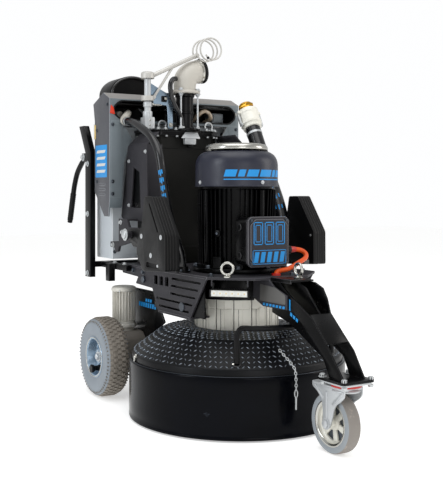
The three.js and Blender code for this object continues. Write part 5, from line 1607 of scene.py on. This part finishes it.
def build_console():
    bm = bmesh.new()
    arch = [(-236, 1262), (-4, 1262)]
    for k in range(33):
        angle = math.pi * k / 32
        arch.append((-120 + 116 * math.cos(angle), 1290 + 86 * math.sin(angle)))
    prism(bm, "yz", arch, -790, -672)
    block(bm, -790, -634, -236, 236, 1160, 1228)
    block(bm, -790, -672, -236, -4, 1224, 1263)
    hole = bmesh.new()
    cylinder(hole, (-800, STOP_Y, STOP_Z), (-770, STOP_Y, STOP_Z), 9.8, 32, 0.01)
    publish("console_pod", bm, "gloss_black", replaces="control_console", bevel=4, segments=4, carve=hole)
    bm = bmesh.new()
    rim = [Vector((-668, -228, 1268))]
    for k in range(33):
        angle = math.pi * (1 - k / 32)
        rim.append(Vector((-668, -120 + 108 * math.cos(angle), 1290 + 78 * math.sin(angle))))
    rim.append(Vector((-668, -12, 1268)))
    sweep(bm, rim, 6, 16, closed=True)
    publish("console_arch_rim", bm, "shine_black")
    bm = bmesh.new()
    block(bm, -640, -496, -304, 304, 1156, 1232)
    hollow = bmesh.new()
    block(hollow, -630, -480, -296, 296, 1162, 1226)
    publish("recess_liner", bm, "plastic", bevel=1, carve=hollow)
    bm = bmesh.new()
    prism(bm, "yz", rounded([(-140, 1276), (-22, 1276), (-30, 1350), (-132, 1350)], 12), CONSOLE_FACE,
          -789.6)
    prism(bm, "yz", rounded(rect(-216, 216, 1170, 1216), 10), CONSOLE_FACE, -789.6)
    publish("console_panels", bm, "frame", bevel=0.8)
    bm = bmesh.new()
    for y, z, r in ((-102, 1316, 17), (-58, 1316, 17), (-170, 1193, 15), (-120, 1193, 11), (-80, 1193, 11),
                    (60, 1193, 15), (110, 1193, 15), (160, 1193, 15)):
        lathe(bm, [(0, 0), (r, 0), (r, 6), (r - 2, 9), (r - 4, 7), (0, 7)], 36,
              along((CONSOLE_FACE, y, z), (-900, y, z)))
    publish("console_dials", bm, "zinc")
    bm = bmesh.new()
    for y, z, r in ((-102, 1316, 12), (-58, 1316, 12), (60, 1193, 10), (110, 1193, 10), (160, 1193, 10)):
        lathe(bm, rect(0, r, 6.6, 7.6), 36, along((CONSOLE_FACE, y, z), (-900, y, z)))
    publish("console_dial_faces", bm, "label")
    bm = bmesh.new()
    lathe(bm, [(0, 0), (9, 0), (9, 8), (9, 19.6), (13, 19.6), (18, 20.4), (20, 23), (20, 27), (17, 31),
               (9, 33.4), (0, 34)], 48, along((-792.4, STOP_Y, STOP_Z), (-900, STOP_Y, STOP_Z)))
    publish("emergency_stop_mushroom", bm, "red", "stop_button", "emergency_stop")
    bm = bmesh.new()
    lathe(bm, [(10.4, 0), (27, 0), (27, 1.6), (14, 2.4), (10.4, 2.4)], 48,
          along((-790, STOP_Y, STOP_Z), (-900, STOP_Y, STOP_Z)))
    publish("emergency_stop_plate", bm, "led")


def build_cabinet():
    refine("cabinet_body", "cabinet", 2.4, 3)
    refine("cabinet_door", "cabinet", 2.4, 3)
    bm = bmesh.new()
    for z in (640, 860, 1080):
        cylinder(bm, (-728, 272.5, z - 22), (-728, 272.5, z + 22), 5, 24)
    publish("cabinet_door_hinges", bm, "zinc", "chassis")
    bm = bmesh.new()
    back = -735.3
    for k in range(9):
        z = 640 + 18 * k
        prism(bm, "yz", rounded(rect(-110, 110, z, z + 7), 3), back - 2.4, back + 0.5)
    publish("cabinet_door_louvres", bm, "cabinet", "door", bevel=0.8)
    bm = bmesh.new()
    for z in (700, 1030):
        lathe(bm, [(0, 0), (13, 0), (13, 3), (10, 5), (0, 5)], 36,
              along((back, -246, z), (back - 50, -246, z)))
    publish("cabinet_door_locks", bm, "bright", "door")
    bm = bmesh.new()
    for y in (-268, 268):
        for z in (600, 860, 1120):
            bolt(bm, (-550, y, z), (1, 0, 0), 9, 4)
    publish("cabinet_screws", bm, "dark_steel")


def build_push_frame():
    refine("push_frame", "gloss_black", 2.4, 3)
    bm = bmesh.new()
    for _, side in SIDES:
        for x, z in ((-700, 500), (-700, 760), (-700, 980)):
            bolt(bm, (x, side * 330, z), (0, side, 0), 15, 8)
        for x in (-580, -480):
            bolt(bm, (x, side * 254, 549), (0, 0, 1), 13, 8)
        for offset in (305, 330):
            outward = 1 if offset == 330 else -1
            bolt(bm, (-752, side * offset, 1010), (0, side * outward, 0), 20, 8)
    publish("push_frame_bolts", bm, "zinc")
    for name, side in SIDES:
        y = side * 317.5
        bm = bmesh.new()
        sweep(bm, spline([(-764, y, 1006), (-800, y, 984), (-850, y, 944), (-880, y, 898), (-900, y, 850),
                          (-944, y, 716)], 8), lambda share: 7.6 + 4.1 * min(1, share * 5), 28)
        lathe(bm, rect(6.6, 14, -7.6, 7.6), 40,
              moved(-752, y, 1010) @ AXIS_TURN["y"])
        publish(f"handle_tube_{name}", bm, "gloss_black", f"handle_{name}", f"handle_{name}", bevel=0.6)
        bm = bmesh.new()
        start, end = Vector((-900, y, 850)), Vector((-941, y, 725))
        profile = [(11, 0), (13, 1)]
        length = (end - start).length
        for k in range(12):
            z = 4 + (length - 8) * k / 12
            profile += [(13.4, z), (13.4, z + 5.4), (12.5, z + 6.2), (12.5, z + 8.6)]
        profile += [(13.4, length - 2), (11, length)]
        lathe(bm, profile, 36, along(start, end))
        publish(f"handle_grip_{name}", bm, "plastic", f"handle_{name}")


build_tank()
build_inlet()
build_boom()
build_pipes()
build_hood()
build_console()
build_cabinet()
build_push_frame()
